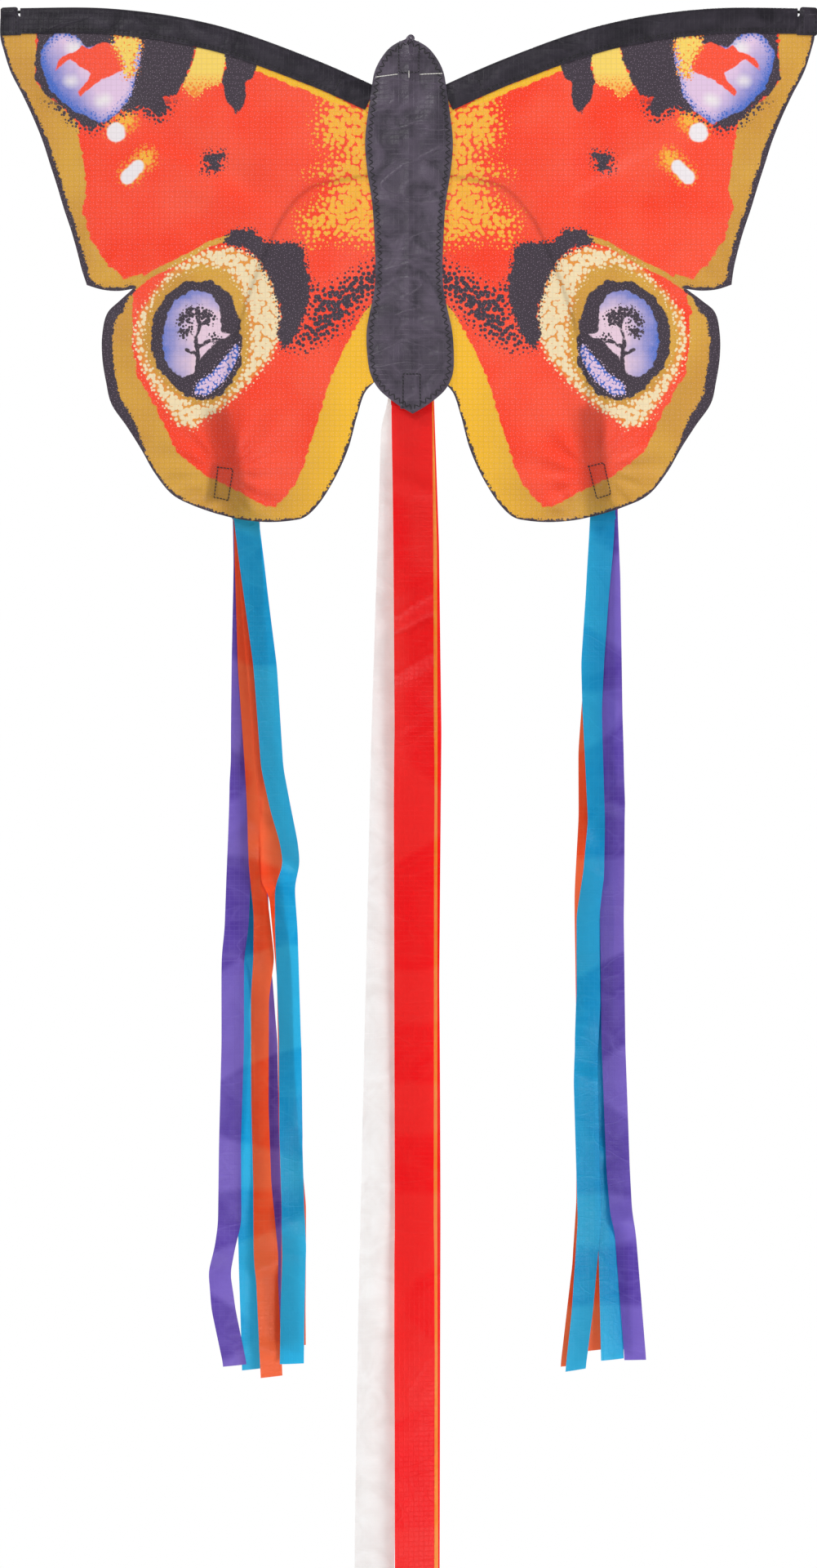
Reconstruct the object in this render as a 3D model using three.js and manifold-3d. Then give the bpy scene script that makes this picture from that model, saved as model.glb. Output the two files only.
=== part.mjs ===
// Butterfly-shaped single-line kite, hung upright by its tow loop. Millimetres, +Z up, its face towards -Y.
// The origin is at the tow loop, level with the face of the sail.
import * as THREE from 'three';
import Module from 'manifold-3d';

const wasm = await Module();
wasm.setup();

// Cloth and spars
const cloth = 0.4; // one hemmed layer of sail, panel, sleeve or pocket
const gap = 0.3; // between touching pieces
const rodPlane = 3.0; // every spar's centre, behind the sail
const wingRodRadius = 1.0;
const spineRadius = 1.25;
const capWall = 0.3;
const capLength = 6;
const capFit = 0.25; // between a cap and its spar
const lineRadius = 0.3;
const connectorWall = 0.5;

// Wings
const armStart = 11.6; // where a flexible arm begins, clear of its hub
const noseArmEnd = 44;
const archArmEnd = 26;
const archRodEnd = 122.1;
const sailInnerX = 10.3;
const sleeveHeight = 14.5; // from the rod's centre to the sewn edge
const sleeveRadius = 2.5;
const sleeveBore = 2.1;
const sailTopDrop = 4.2; // the sail's top edge, below the rod's centre
const sleeveStart = 23;
const tipStart = 249.5;
const tipEnd = 261;
const tipRodHeight = 40.35; // the leading spar's centre at the wing tip

// Body and spine
const spineTop = 19;
const spineBottom = -210;
const noseHeight = -19.2; // the nose hub's centre
const archHeight = -61;
const armSlope = 0.435;

// Tails
const stripThickness = 0.3;
const stripPitch = 0.6; // from one strip of a stack to the next
const stripLean = 0.004; // how much more each strip behind leans away, for each millimetre down
const sideStripWidth = 16;
const centreStripWidth = 26;
const sideTailFront = 5.6;
const centreTailFront = 5.8;
const sidePivot = -271;
const centrePivot = -204;

const finish = {
  sail: { color: 0xf0512c, roughness: 0.6 },
  panel: { color: 0x3a3a40, roughness: 0.6 },
  sleeve: { color: 0x26242a, roughness: 0.55 },
  fibreglass: { color: 0x1c1c1e, roughness: 0.4 },
  vinyl: { color: 0x17171a, roughness: 0.7 },
  line: { color: 0xf2efe8, roughness: 0.8 },
  blue: { color: 0x109fd6, roughness: 0.5 },
  orange: { color: 0xff5a2a, roughness: 0.5 },
  purple: { color: 0x6a4bb5, roughness: 0.5 },
  red: { color: 0xff1212, roughness: 0.5 },
  yellow: { color: 0xffb400, roughness: 0.5 },
  white: { color: 0xf0eeec, roughness: 0.5 },
};

const kite = new THREE.Group();

function addPiece(name, geometry, finishName) {
  const material = new THREE.MeshStandardMaterial({ ...finish[finishName], metalness: 0 });
  const mesh = new THREE.Mesh(geometry, material);
  mesh.name = name;
  kite.add(mesh);
}

// An outline in the XZ plane, given depth from front to back.
function prism(outline, front, back, holes = []) {
  const shape = new THREE.Shape(outline.map(([x, z]) => new THREE.Vector2(x, z)));
  shape.holes = holes.map((hole) => new THREE.Path(hole.map(([x, z]) => new THREE.Vector2(x, z))));
  const geometry = new THREE.ExtrudeGeometry(shape, { depth: back - front, bevelEnabled: false });
  return geometry.rotateX(Math.PI / 2).translate(0, back, 0);
}

function block(low, high) {
  const size = high.map((value, i) => value - low[i]);
  const middle = high.map((value, i) => (value + low[i]) / 2);
  return new THREE.BoxGeometry(...size).translate(...middle);
}

// A round bar between two points.
function bar(from, to, radius, sides = 16) {
  const start = new THREE.Vector3(...from);
  const end = new THREE.Vector3(...to);
  const along = end.clone().sub(start);
  const geometry = new THREE.CylinderGeometry(radius, radius, along.length(), sides);
  const turn = new THREE.Quaternion().setFromUnitVectors(
    new THREE.Vector3(0, 1, 0),
    along.clone().normalize(),
  );
  return geometry.applyQuaternion(turn).translate(...start.add(end).multiplyScalar(0.5).toArray());
}

function circle(radius, sides) {
  return Array.from({ length: sides }, (_, i) => {
    const turn = (2 * Math.PI * i) / sides;
    return new THREE.Vector2(radius * Math.cos(turn), radius * Math.sin(turn));
  });
}

function sweep(section, curve, steps) {
  return new THREE.ExtrudeGeometry(section, { extrudePath: curve, steps });
}

function rodAlong(curve, radius, steps) {
  return sweep(new THREE.Shape(circle(radius, 10)), curve, steps);
}

function tubeAlong(curve, inner, outer, steps) {
  const section = new THREE.Shape(circle(outer, 16));
  section.holes = [new THREE.Path(circle(inner, 16))];
  return sweep(section, curve, steps);
}

function curveThrough(points) {
  const places = points.map(([x, z]) => new THREE.Vector3(x, rodPlane, z));
  return new THREE.CatmullRomCurve3(places, false, 'centripetal');
}

// The stretch of a spar's curve between two distances from the middle of the kite.
function stretchOf(curve, fromX, toX, count) {
  const points = curve.getSpacedPoints(400).filter((p) => p.x > fromX && p.x < toX);
  const step = (points.length - 1) / (count - 1);
  return new THREE.CatmullRomCurve3(Array.from({ length: count }, (_, i) => points[Math.round(i * step)]));
}

function toSolid(geometry) {
  const plain = geometry.index ? geometry.toNonIndexed() : geometry;
  const count = plain.attributes.position.count;
  const mesh = new wasm.Mesh({
    numProp: 3,
    vertProperties: new Float32Array(plain.attributes.position.array),
    triVerts: Uint32Array.from({ length: count }, (_, i) => i),
  });
  mesh.merge();
  return new wasm.Manifold(mesh);
}

function toGeometry(solid) {
  const mesh = solid.getMesh();
  const geometry = new THREE.BufferGeometry();
  geometry.setAttribute('position', new THREE.BufferAttribute(mesh.vertProperties, 3));
  geometry.setIndex(new THREE.BufferAttribute(mesh.triVerts, 1));
  return geometry;
}

function cutFrom(base, ...cutters) {
  return toGeometry(cutters.reduce((solid, cutter) => solid.subtract(toSolid(cutter)), toSolid(base)));
}

function joined(...pieces) {
  return toGeometry(pieces.map(toSolid).reduce((solid, piece) => solid.add(piece)));
}

// Wings are drawn on the +X side. The left one is its mirror image, with its triangles turned to face out.
function mirrored(geometry) {
  const flipped = (geometry.index ? geometry.toNonIndexed() : geometry.clone()).scale(-1, 1, 1);
  const position = flipped.attributes.position;
  for (let i = 0; i < position.count; i += 3) {
    const second = new THREE.Vector3().fromBufferAttribute(position, i + 1);
    const third = new THREE.Vector3().fromBufferAttribute(position, i + 2);
    position.setXYZ(i + 1, ...third.toArray());
    position.setXYZ(i + 2, ...second.toArray());
  }
  return flipped;
}

function addBothWings(name, geometry, finishName) {
  addPiece(`right_${name}`, geometry, finishName);
  addPiece(`left_${name}`, mirrored(geometry), finishName);
}

// Spar curves, from the body to the far end, as (distance from the middle, height)
const leadingCurve = curveThrough([[11, -14.4], [63, 8.5], [125, 29.8], [188, 39.8], [258.5, 40.3]]);
const archCurve = curveThrough([
  [11, -61.3], [40, -65.5], [61, -70.5], [77, -86], [90, -111], [105, -151.8], [114, -187], [118.3, -245],
  [122.3, -268],
]);

// Points a given distance below the leading spar's centre, square to it.
function belowLeading(drop, fromX, toX, count) {
  const stretch = stretchOf(leadingCurve, fromX, toX, count);
  return Array.from({ length: count }, (_, i) => {
    const t = i / (count - 1);
    const point = stretch.getPoint(t);
    const along = stretch.getTangent(t);
    return [point.x + along.z * drop, point.z - along.x * drop];
  });
}

function addSails() {
  const outerEdge = [
    [260.2, 24], [258.2, 16], [253.5, 1.5], [239, -28], [228.5, -57], [219.5, -86], [210.5, -115.5],
    [206, -134.5], [177, -137], [186, -144.5], [194, -152], [197.3, -166], [197.3, -181], [191.7, -210],
    [181.5, -225], [164, -254], [152, -268.5], [137, -276], [112, -283.5],
  ];
  const innerEdge = [
    [92, -286], [75, -285], [67, -283], [59, -276], [49, -261], [39, -239.5], [33, -217.5], [28, -203],
    [22, -196.5], [sailInnerX, -198],
  ];
  const topEdge = belowLeading(sailTopDrop, armStart, 247, 14);
  const tip = [[260.2, 35.6]];
  const outline = [[sailInnerX, -19.6], ...topEdge, ...tip, ...outerEdge, ...innerEdge];
  addBothWings('wing_sail', prism(outline, 0, cloth), 'sail');
}

// The sleeve's section: a channel round the spar, then two laps that hold the sail's top edge between them.
function sleeveSection() {
  const frontLap = cloth + gap; // how far the front lap's face stands before the sail
  const backLap = cloth + gap; // where the back lap's face lies, behind the sail
  const arc = Array.from({ length: 9 }, (_, i) => {
    const turn = Math.PI * (1 - i / 8);
    return [rodPlane + sleeveRadius * Math.cos(turn), sleeveRadius * Math.sin(turn)];
  });
  const outline = [
    [-frontLap, -sleeveHeight], [-frontLap, -3], ...arc, [rodPlane + 1.7, -1.85], [rodPlane, -2.6],
    [backLap + cloth, -5], [backLap + cloth, -sleeveHeight], [backLap, -sleeveHeight], [backLap, -3.8],
    [-gap, -3.8], [-gap, -sleeveHeight],
  ];
  const section = new THREE.Shape(outline.map(([y, z]) => new THREE.Vector2(rodPlane - y, -z)));
  section.holes = [new THREE.Path(circle(sleeveBore, 16))];
  return section;
}

function addLeadingEdges() {
  const sleeveRun = stretchOf(leadingCurve, sleeveStart, tipStart - 0.6, 14);
  addBothWings('leading_sleeve', sweep(sleeveSection(), sleeveRun, 26), 'sleeve');

  // The pocket folds over the tip: a channel for the spar, and one layer down each side of the sail.
  const tipFoot = 25;
  const tipTop = 42.8;
  const tipChannelFoot = 37.4;
  const tip = cutFrom(
    block([tipStart, -cloth - gap, tipFoot], [tipEnd, 5.4, tipTop]),
    block([tipStart - 1, -gap, tipFoot - 1], [tipEnd + 1, cloth + gap, tipChannelFoot]),
    block([tipStart - 1, cloth + gap + cloth, tipFoot - 1], [tipEnd + 1, 6, tipChannelFoot - cloth]),
    bar([tipStart - 1, rodPlane, tipRodHeight], [tipEnd - 0.7, rodPlane, tipRodHeight], 1.85),
  );
  addBothWings('tip_pocket', tip, 'sleeve');

  const rodRun = stretchOf(leadingCurve, armStart + 0.6, 258, 14);
  addBothWings('leading_rod', rodAlong(rodRun, wingRodRadius, 26), 'fibreglass');
  const capInner = wingRodRadius + capFit;
  const cap = cutFrom(
    bar([253.4, rodPlane, tipRodHeight], [253.4 + capLength, rodPlane, tipRodHeight], capInner + capWall),
    bar([252, rodPlane, tipRodHeight], [258.6, rodPlane, tipRodHeight], capInner),
  );
  addBothWings('tip_cap', cap, 'vinyl');

  const armInner = wingRodRadius + gap;
  const armRun = stretchOf(leadingCurve, armStart, noseArmEnd, 5);
  addBothWings('nose_arm', tubeAlong(armRun, armInner, armInner + connectorWall, 6), 'vinyl');
}

// A pocket or cap drawn upright about its own middle, then leaned outwards with the arch's end.
function leanedWithArch(geometry) {
  const middle = [120.8, -260.3];
  const lean = THREE.MathUtils.degToRad(-10);
  return geometry.rotateY(lean).translate(middle[0], rodPlane, middle[1]);
}

function addArches() {
  const armInner = wingRodRadius + gap;
  const armRun = stretchOf(archCurve, armStart, archArmEnd, 3);
  addBothWings('arch_arm', tubeAlong(armRun, armInner, armInner + connectorWall, 4), 'vinyl');
  const rodRun = stretchOf(archCurve, armStart + 0.6, archRodEnd, 24);
  addBothWings('arch_rod', rodAlong(rodRun, wingRodRadius, 44), 'fibreglass');

  const capInner = wingRodRadius + capFit;
  const capFoot = -9.2;
  const cap = cutFrom(
    bar([0, 0, capFoot], [0, 0, capFoot + capLength], capInner + capWall),
    bar([0, 0, capFoot + 0.6], [0, 0, -2], capInner),
  );
  addBothWings('arch_cap', leanedWithArch(cap), 'vinyl');

  const halfSize = [6, 2.2, 11];
  const pocket = cutFrom(
    block(halfSize.map((value) => -value), halfSize),
    block([-4.9, cloth - 2.2, -10.2], [4.9, 2.2 - cloth, 12]),
  );
  addBothWings('arch_pocket', leanedWithArch(pocket), 'panel');
}

// A flexible cross: the spine slides through its upright tube, and a stub on each side holds a wing's arm.
function hub(height, slope) {
  const bore = spineRadius + gap;
  const reach = 9.8;
  const halfTube = 8;
  const stub = (side) => bar([0, rodPlane, height], [side * reach, rodPlane, height + reach * slope], 1.8);
  const upright = (half, radius) => bar(
    [0, rodPlane, height - half], [0, rodPlane, height + half], radius, 20,
  );
  const solid = joined(upright(halfTube, bore + 0.7), stub(1), stub(-1));
  return cutFrom(solid, upright(halfTube + 1, bore));
}

function addBody() {
  const halfOutline = [
    [3, 22], [8, 19.8], [13, 16.2], [18.5, 9], [22, 1.5], [23.5, -6], [25.2, -18], [27.6, -36.5], [28, -46.5],
    [26.6, -62], [23.5, -82.5], [21.9, -106.5], [21.5, -128], [22.6, -141], [24.8, -151], [27.3, -164],
    [27.7, -177], [26.6, -190], [23.5, -197], [17.5, -204.5], [8.5, -211.5],
  ];
  const otherHalf = halfOutline.map(([x, z]) => [-x, z]).reverse();
  const lineHole = (x) => [[x - 2.2, -1.1], [x + 2.2, -1.1], [x + 2.2, 0.9], [x - 2.2, 0.9]];
  const loopHole = [[-0.8, -3], [0.8, -3], [0.8, 3], [-0.8, 3]];
  const outline = [[0, 23.2], ...halfOutline, [0, -216.8], ...otherHalf];
  const panelBack = -1.0;
  const holes = [lineHole(-7.2), lineHole(7.2), loopHole];
  addPiece('body_panel', prism(outline, panelBack - cloth, panelBack, holes), 'panel');

  addPiece('nose_connector', hub(noseHeight, armSlope), 'vinyl');
  addPiece('arch_connector', hub(archHeight, -0.03), 'vinyl');
  const spine = bar([0, rodPlane, spineBottom], [0, rodPlane, spineTop], spineRadius, 14);
  addPiece('spine_rod', spine, 'fibreglass');

  const capInner = spineRadius + capFit;
  const spineCap = (end, inwards) => {
    const at = (distance) => [0, rodPlane, end + inwards * distance];
    return cutFrom(
      bar(at(-0.9), at(capLength - 0.9), capInner + capWall),
      bar(at(-0.3), at(capLength), capInner),
    );
  };
  addPiece('spine_cap_top', spineCap(spineTop, -1), 'vinyl');
  addPiece('spine_cap_bottom', spineCap(spineBottom, 1), 'vinyl');

  // Each pocket is closed beyond the spine's end and open towards the middle of the body.
  const pocketFor = (halfWidth, [foot, top], [hollowFoot, hollowTop]) => cutFrom(
    block([-halfWidth, rodPlane - 2.4, foot], [halfWidth, rodPlane + 2.4, top]),
    block([-4.2, rodPlane - 2.05, hollowFoot], [4.2, rodPlane + 2.05, hollowTop]),
  );
  addPiece('spine_pocket_top', pocketFor(6.5, [2.8, 21.4], [0, 20.6]), 'panel');
  addPiece('spine_pocket_bottom', pocketFor(5.6, [-213.4, -191.5], [-212.6, -190]), 'panel');
}

// The bridle runs across the head, in through one hole and out through the next, with the tow loop on it.
function addBridle() {
  const route = [
    [-21.4, -1.75, -1.9], [-17, -1.8, -1.3], [-13, -1.8, -0.8], [-10, -1.8, -0.4], [-8.7, -1.7, -0.2],
    [-7.6, -1.3, -0.1], [-6.5, -0.75, -0.1], [-5, -0.5, -0.1], [-2.5, -0.5, -0.1], [0, -0.5, -0.1],
    [2.5, -0.5, -0.1], [5, -0.5, -0.1], [6.5, -0.75, -0.1], [7.6, -1.3, -0.1], [8.7, -1.7, -0.1],
    [10, -1.8, 0], [13, -1.8, 0.1], [17, -1.8, 0.3], [21.4, -1.75, 0.4],
  ];
  const lineCurve = new THREE.CatmullRomCurve3(route.map((point) => new THREE.Vector3(...point)));
  addPiece('bridle_line', sweep(new THREE.Shape(circle(lineRadius, 8)), lineCurve, 40), 'line');

  const loop = new THREE.TorusGeometry(2.1, lineRadius, 8, 24).rotateY(Math.PI / 2).translate(0, -1.8, -0.1);
  addPiece('tow_loop', loop, 'line');
}

// A strip hangs flat along its route, and leans back a little from the one before it.
function strip(route, width, front, lean) {
  const left = route.map(([x, z]) => [x - width / 2, z]);
  const right = route.map(([x, z]) => [x + width / 2, z]).reverse();
  const geometry = prism([...left, ...right], front, front + stripThickness);
  const position = geometry.attributes.position;
  const top = route[0][1];
  for (let i = 0; i < position.count; i += 1) {
    position.setY(i, position.getY(i) + lean * (top - position.getZ(i)));
  }
  return geometry;
}

// The stack of strips where they are sewn on: a fixed length above the pivot and a swinging one below it.
function addTail(side, tail) {
  const depth = tail.strips.length * stripPitch;
  const half = tail.width / 2;
  const stack = ([topX, topZ], [lowX, lowZ]) => prism(
    [[topX - half, topZ], [lowX - half, lowZ], [lowX + half, lowZ], [topX + half, topZ]],
    tail.front,
    tail.front + depth,
  );
  addPiece(`${side}_tail_tab`, stack(tail.sewnTop, tail.sewnEnd), tail.strips[0].finish);
  addPiece(`${side}_tail_stack`, stack(tail.stackTop, tail.stackEnd), tail.strips[0].finish);
  tail.strips.forEach(({ name, finish: colour, route }, i) => {
    const geometry = strip(route, tail.width, tail.front + i * stripPitch, i * stripLean);
    addPiece(`${side}_strip_${name}`, geometry, colour);
  });
}

// Strips are listed from front to back.
const leftTail = {
  width: sideStripWidth,
  front: sideTailFront,
  sewnTop: [-119.5, -212],
  sewnEnd: [-108, sidePivot + 0.5],
  stackTop: [-107.7, sidePivot - 0.5],
  stackEnd: [-105.3, -282.5],
  strips: [
    { name: 'blue_a', finish: 'blue', route: [
      [-104.5, -286.4], [-99, -325], [-92, -378], [-87, -443], [-84.5, -463], [-76, -490], [-76, -503],
      [-80, -520], [-76, -601], [-75, -673], [-76.5, -729], [-73, -751], [-74.5, -790], [-75, -825],
    ] },
    { name: 'orange_b', finish: 'orange', route: [
      [-104, -286.4], [-97, -370], [-87, -474], [-88.5, -521], [-85, -578], [-78.5, -672], [-74, -755],
      [-74.5, -813],
    ] },
    { name: 'orange_a', finish: 'orange', route: [
      [-104.5, -286.4], [-102, -378], [-97, -470], [-98.5, -504], [-94, -540], [-91, -578], [-96, -620],
      [-95.5, -658], [-92.5, -720], [-91, -791], [-88, -834],
    ] },
    { name: 'purple_a', finish: 'purple', route: [
      [-105, -286.4], [-107, -370], [-109, -443], [-109, -538], [-114, -562], [-113, -620], [-115, -702],
      [-114, -749], [-124, -766], [-119.5, -791], [-111, -824],
    ] },
    { name: 'blue_b', finish: 'blue', route: [
      [-104.5, -286.4], [-103, -411], [-99, -531], [-103.5, -584], [-104, -658], [-102, -747], [-100, -830],
    ] },
    { name: 'purple_b', finish: 'purple', route: [
      [-104, -286.4], [-100, -432], [-97.5, -552], [-93, -615], [-88, -704], [-86, -766], [-81, -813],
    ] },
  ],
};

const rightTail = {
  width: sideStripWidth,
  front: sideTailFront,
  sewnTop: [118, -210],
  sewnEnd: [122.2, sidePivot + 0.5],
  stackTop: [122.4, sidePivot - 0.5],
  stackEnd: [124.6, -282.5],
  strips: [
    { name: 'blue_a', finish: 'blue', route: [
      [123.5, -286.4], [122, -321], [117, -376], [117.5, -411], [117, -448], [120, -477], [119, -511],
      [115, -535], [115, -590], [112, -645], [115.5, -732], [113, -790], [106, -828],
    ] },
    { name: 'purple_a', finish: 'purple', route: [
      [127, -286.4], [129, -344], [128.5, -411], [131, -477], [129, -556], [130, -620], [135, -729],
      [139.5, -747], [145, -821],
    ] },
    { name: 'blue_b', finish: 'blue', route: [
      [125, -286.4], [125.5, -421], [123.5, -578], [125, -683], [129, -767], [130, -824],
    ] },
    { name: 'orange_a', finish: 'orange', route: [
      [125, -286.4], [123, -349], [117, -437], [118, -474], [114, -523], [115, -600], [114, -755],
      [104, -826],
    ] },
    { name: 'orange_b', finish: 'orange', route: [
      [126, -286.4], [125.5, -370], [122.5, -552], [120, -709], [117.5, -817],
    ] },
    { name: 'purple_b', finish: 'purple', route: [
      [126, -286.4], [129, -411], [129.5, -552], [131.5, -683], [136, -787], [137, -816],
    ] },
  ],
};

const centreTail = {
  width: centreStripWidth,
  front: centreTailFront,
  sewnTop: [1, -193],
  sewnEnd: [1.3, centrePivot + 0.5],
  stackTop: [1.4, centrePivot - 0.5],
  stackEnd: [1.5, -209.5],
  strips: [
    { name: 'red_a', finish: 'red', route: [[2, -213.5], [3, -420], [3.5, -735], [4, -955], [3.5, -1211]] },
    { name: 'yellow', finish: 'yellow', route: [[3, -213.5], [5, -420], [5, -735], [5.5, -955], [5, -1208]] },
    { name: 'red_b', finish: 'red', route: [
      [4, -213.5], [7.5, -420], [5.5, -580], [7, -735], [6, -955], [7, -1210],
    ] },
    { name: 'white', finish: 'white', route: [
      [-4, -213.5], [-11, -420], [-18.5, -735], [-22, -955], [-26.5, -1205],
    ] },
  ],
};

addBody();
addBridle();
addSails();
addLeadingEdges();
addArches();
addTail('left', leftTail);
addTail('right', rightTail);
addTail('centre', centreTail);

export default kite;
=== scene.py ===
import math
import bpy
import numpy as np
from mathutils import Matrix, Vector
from mathutils.geometry import delaunay_2d_cdt
from mathutils.noise import noise as softNoise


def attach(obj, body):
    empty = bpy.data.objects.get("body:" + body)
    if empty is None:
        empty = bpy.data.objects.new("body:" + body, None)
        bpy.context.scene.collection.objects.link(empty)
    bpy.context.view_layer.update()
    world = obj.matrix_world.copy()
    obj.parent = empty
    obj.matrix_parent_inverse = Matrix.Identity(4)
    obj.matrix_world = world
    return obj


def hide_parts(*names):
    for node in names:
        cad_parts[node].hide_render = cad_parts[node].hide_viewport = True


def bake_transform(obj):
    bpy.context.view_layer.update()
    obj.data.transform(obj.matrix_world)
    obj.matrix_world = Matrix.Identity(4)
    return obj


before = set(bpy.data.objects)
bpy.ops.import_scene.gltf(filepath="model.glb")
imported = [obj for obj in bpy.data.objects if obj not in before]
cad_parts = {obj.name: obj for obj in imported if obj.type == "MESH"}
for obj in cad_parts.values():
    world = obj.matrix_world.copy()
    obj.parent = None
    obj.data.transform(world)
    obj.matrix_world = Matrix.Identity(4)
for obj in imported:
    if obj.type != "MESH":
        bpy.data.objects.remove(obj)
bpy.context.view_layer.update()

# A butterfly-shaped kite hangs upright, its face towards -Y. Sizes are millimetres until a mesh is made.


wings = (("left", -1), ("right", 1))


# Small helpers
def linearColour(hexColour):
    parts = [int(hexColour[i:i + 2], 16) / 255 for i in (1, 3, 5)]
    return tuple(p / 12.92 if p <= 0.04045 else ((p + 0.055) / 1.055) ** 2.4 for p in parts) + (1.0,)


def metres(point):
    return tuple(value / 1000 for value in point)


def addNode(tree, kind, inputs=None, **settings):
    node = tree.nodes.new(kind)
    for name, value in settings.items():
        setattr(node, name, value)
    for name, value in (inputs or {}).items():
        if isinstance(value, bpy.types.NodeSocket):
            tree.links.new(value, node.inputs[name])
        else:
            node.inputs[name].default_value = value
    return node


# Inks laid one over another, each through its own mask.
def layered(tree, under, *layers):
    for mask, ink in layers:
        under = addNode(tree, "ShaderNodeMix", {0: mask, 6: under, 7: ink}, data_type="RGBA").outputs[2]
    return under


# A mask that changes evenly while a value goes from start to end.
def fade(tree, value, start, end, least=0.0, most=1.0):
    return addNode(tree, "ShaderNodeMapRange", {
        "Value": value, "From Min": start, "From Max": end, "To Min": least, "To Max": most,
    }).outputs["Result"]


def meshPiece(name, points, faces, material):
    mesh = bpy.data.meshes.new(name)
    mesh.from_pydata([metres(p) for p in points], [], [tuple(int(i) for i in f) for f in faces])
    mesh.validate()
    mesh.polygons.foreach_set("use_smooth", [True] * len(mesh.polygons))
    mesh.set_sharp_from_angle(angle=math.radians(50))
    mesh.materials.append(material)
    piece = bpy.data.objects.new(name, mesh)
    bpy.context.scene.collection.objects.link(piece)
    return piece


def place(piece, body, slot, *nodes, bends=None):
    if bends:
        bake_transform(piece)
    else:
        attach(piece, body)
    if nodes:
        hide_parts(*nodes)


# A smooth curve through points of any dimension, centripetal, sampled at even steps.
def smoothPath(points, spacing):
    keys = [np.array(p, float) for p in points]
    keys = [2 * keys[0] - keys[1]] + keys + [2 * keys[-1] - keys[-2]]
    samples = []
    for a, b, c, d in zip(keys, keys[1:], keys[2:], keys[3:]):
        steps = [max(np.linalg.norm(q - p), 1e-6) ** 0.5 for p, q in ((a, b), (b, c), (c, d))]
        leave = ((b - a) / steps[0] - (c - a) / (steps[0] + steps[1]) + (c - b) / steps[1]) * steps[1]
        reach = ((c - b) / steps[1] - (d - b) / (steps[1] + steps[2]) + (d - c) / steps[2]) * steps[1]
        for t in np.linspace(0, 1, 24, endpoint=False):
            samples.append(
                (2 * t ** 3 - 3 * t ** 2 + 1) * b + (t ** 3 - 2 * t ** 2 + t) * leave
                + (3 * t ** 2 - 2 * t ** 3) * c + (t ** 3 - t ** 2) * reach
            )
    samples.append(keys[-2])
    return evenly(np.array(samples), spacing)


def evenly(path, spacing):
    lengths = np.concatenate(([0], np.cumsum(np.linalg.norm(np.diff(path, axis=0), axis=1))))
    count = max(2, int(round(lengths[-1] / spacing)) + 1)
    return np.stack(
        [np.interp(np.linspace(0, lengths[-1], count), lengths, path[:, i]) for i in range(path.shape[1])], 1
    )


# How far each place is inside an outline: above 0 inside, below 0 outside.
def insideBy(places, outline):
    inside = np.zeros(len(places), bool)
    corners = np.array(outline, float)
    for a, b in zip(corners, np.roll(corners, -1, axis=0)):
        if a[1] != b[1]:
            crosses = (a[1] > places[:, 1]) != (b[1] > places[:, 1])
            inside ^= crosses & (places[:, 0] < a[0] + (places[:, 1] - a[1]) / (b[1] - a[1]) * (b[0] - a[0]))
    near = nearPath(places, np.vstack([corners, corners[:1]]))
    return np.where(inside, near, -near)


def nearPath(places, path):
    path = np.array(path, float)
    near = np.full(len(places), 1e9)
    for a, b in zip(path, path[1:]):
        edge = b - a
        along = np.clip(((places - a) @ edge) / max(edge @ edge, 1e-9), 0, 1)
        near = np.minimum(near, np.linalg.norm(places - a - along[:, None] * edge, axis=1))
    return near


def ease(values, low, high):
    t = np.clip((values - low) / (high - low), 0, 1)
    return t * t * (3 - 2 * t)


def bumpy(places, size, seed):
    return np.array([softNoise(Vector((x / size, z / size, seed * 7.31))) for x, z in places])


# Cloth cut to an outline, as even triangles that all face the same way.
def cutCloth(outline, spacing):
    edge = np.array(outline, float)
    low, high = edge.min(axis=0), edge.max(axis=0)
    rows = np.arange(low[1], high[1], spacing * 0.866)
    grid = np.array([
        (x, z) for i, z in enumerate(rows) for x in np.arange(low[0] + (i % 2) * spacing / 2, high[0], spacing)
    ])
    grid = grid[insideBy(grid, edge) > spacing * 0.55]
    places = [Vector(p) for p in np.vstack([edge, grid])]
    loop = [(i, (i + 1) % len(edge)) for i in range(len(edge))]
    points, _, faces, *_ = delaunay_2d_cdt(places, loop, [], 1, 1e-5)
    points = np.array([(p.x, p.y) for p in points])
    turned = []
    for a, b, c in faces:
        area = np.cross(points[b] - points[a], points[c] - points[a])
        turned.append((a, b, c) if area > 0 else (a, c, b))
    return points, turned


# Both faces and the rim of a layer: front and back are depths for each point.
def closedLayer(points, faces, front, back):
    count = len(points)
    rimEdges = {}
    for a, b, c in faces:
        for edge in ((a, b), (b, c), (c, a)):
            if (edge[1], edge[0]) in rimEdges:
                del rimEdges[(edge[1], edge[0])]
            else:
                rimEdges[edge] = True
    shell = [(x, y, z) for (x, z), y in zip(points, front)] + [(x, y, z) for (x, z), y in zip(points, back)]
    skin = list(faces) + [(c + count, b + count, a + count) for a, b, c in faces]
    skin += [(b, a, a + count, b + count) for a, b in rimEdges]
    return shell, skin


# Pieces are shaped on the right, and turned over for the left.
def sided(side, points, faces):
    if side > 0:
        return points, faces
    return [(-x, y, z) for x, y, z in points], [tuple(reversed(f)) for f in faces]


# The bend beside the spine when a wing flexes, from the body at near to the wing at far; place() only bakes the
# transform of a piece that is given one.
def wingHinge(label, side, near=6, far=14):
    return "body_frame", label + "_wing", (side * near, 3, -40), (side * far, 3, -40)


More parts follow.
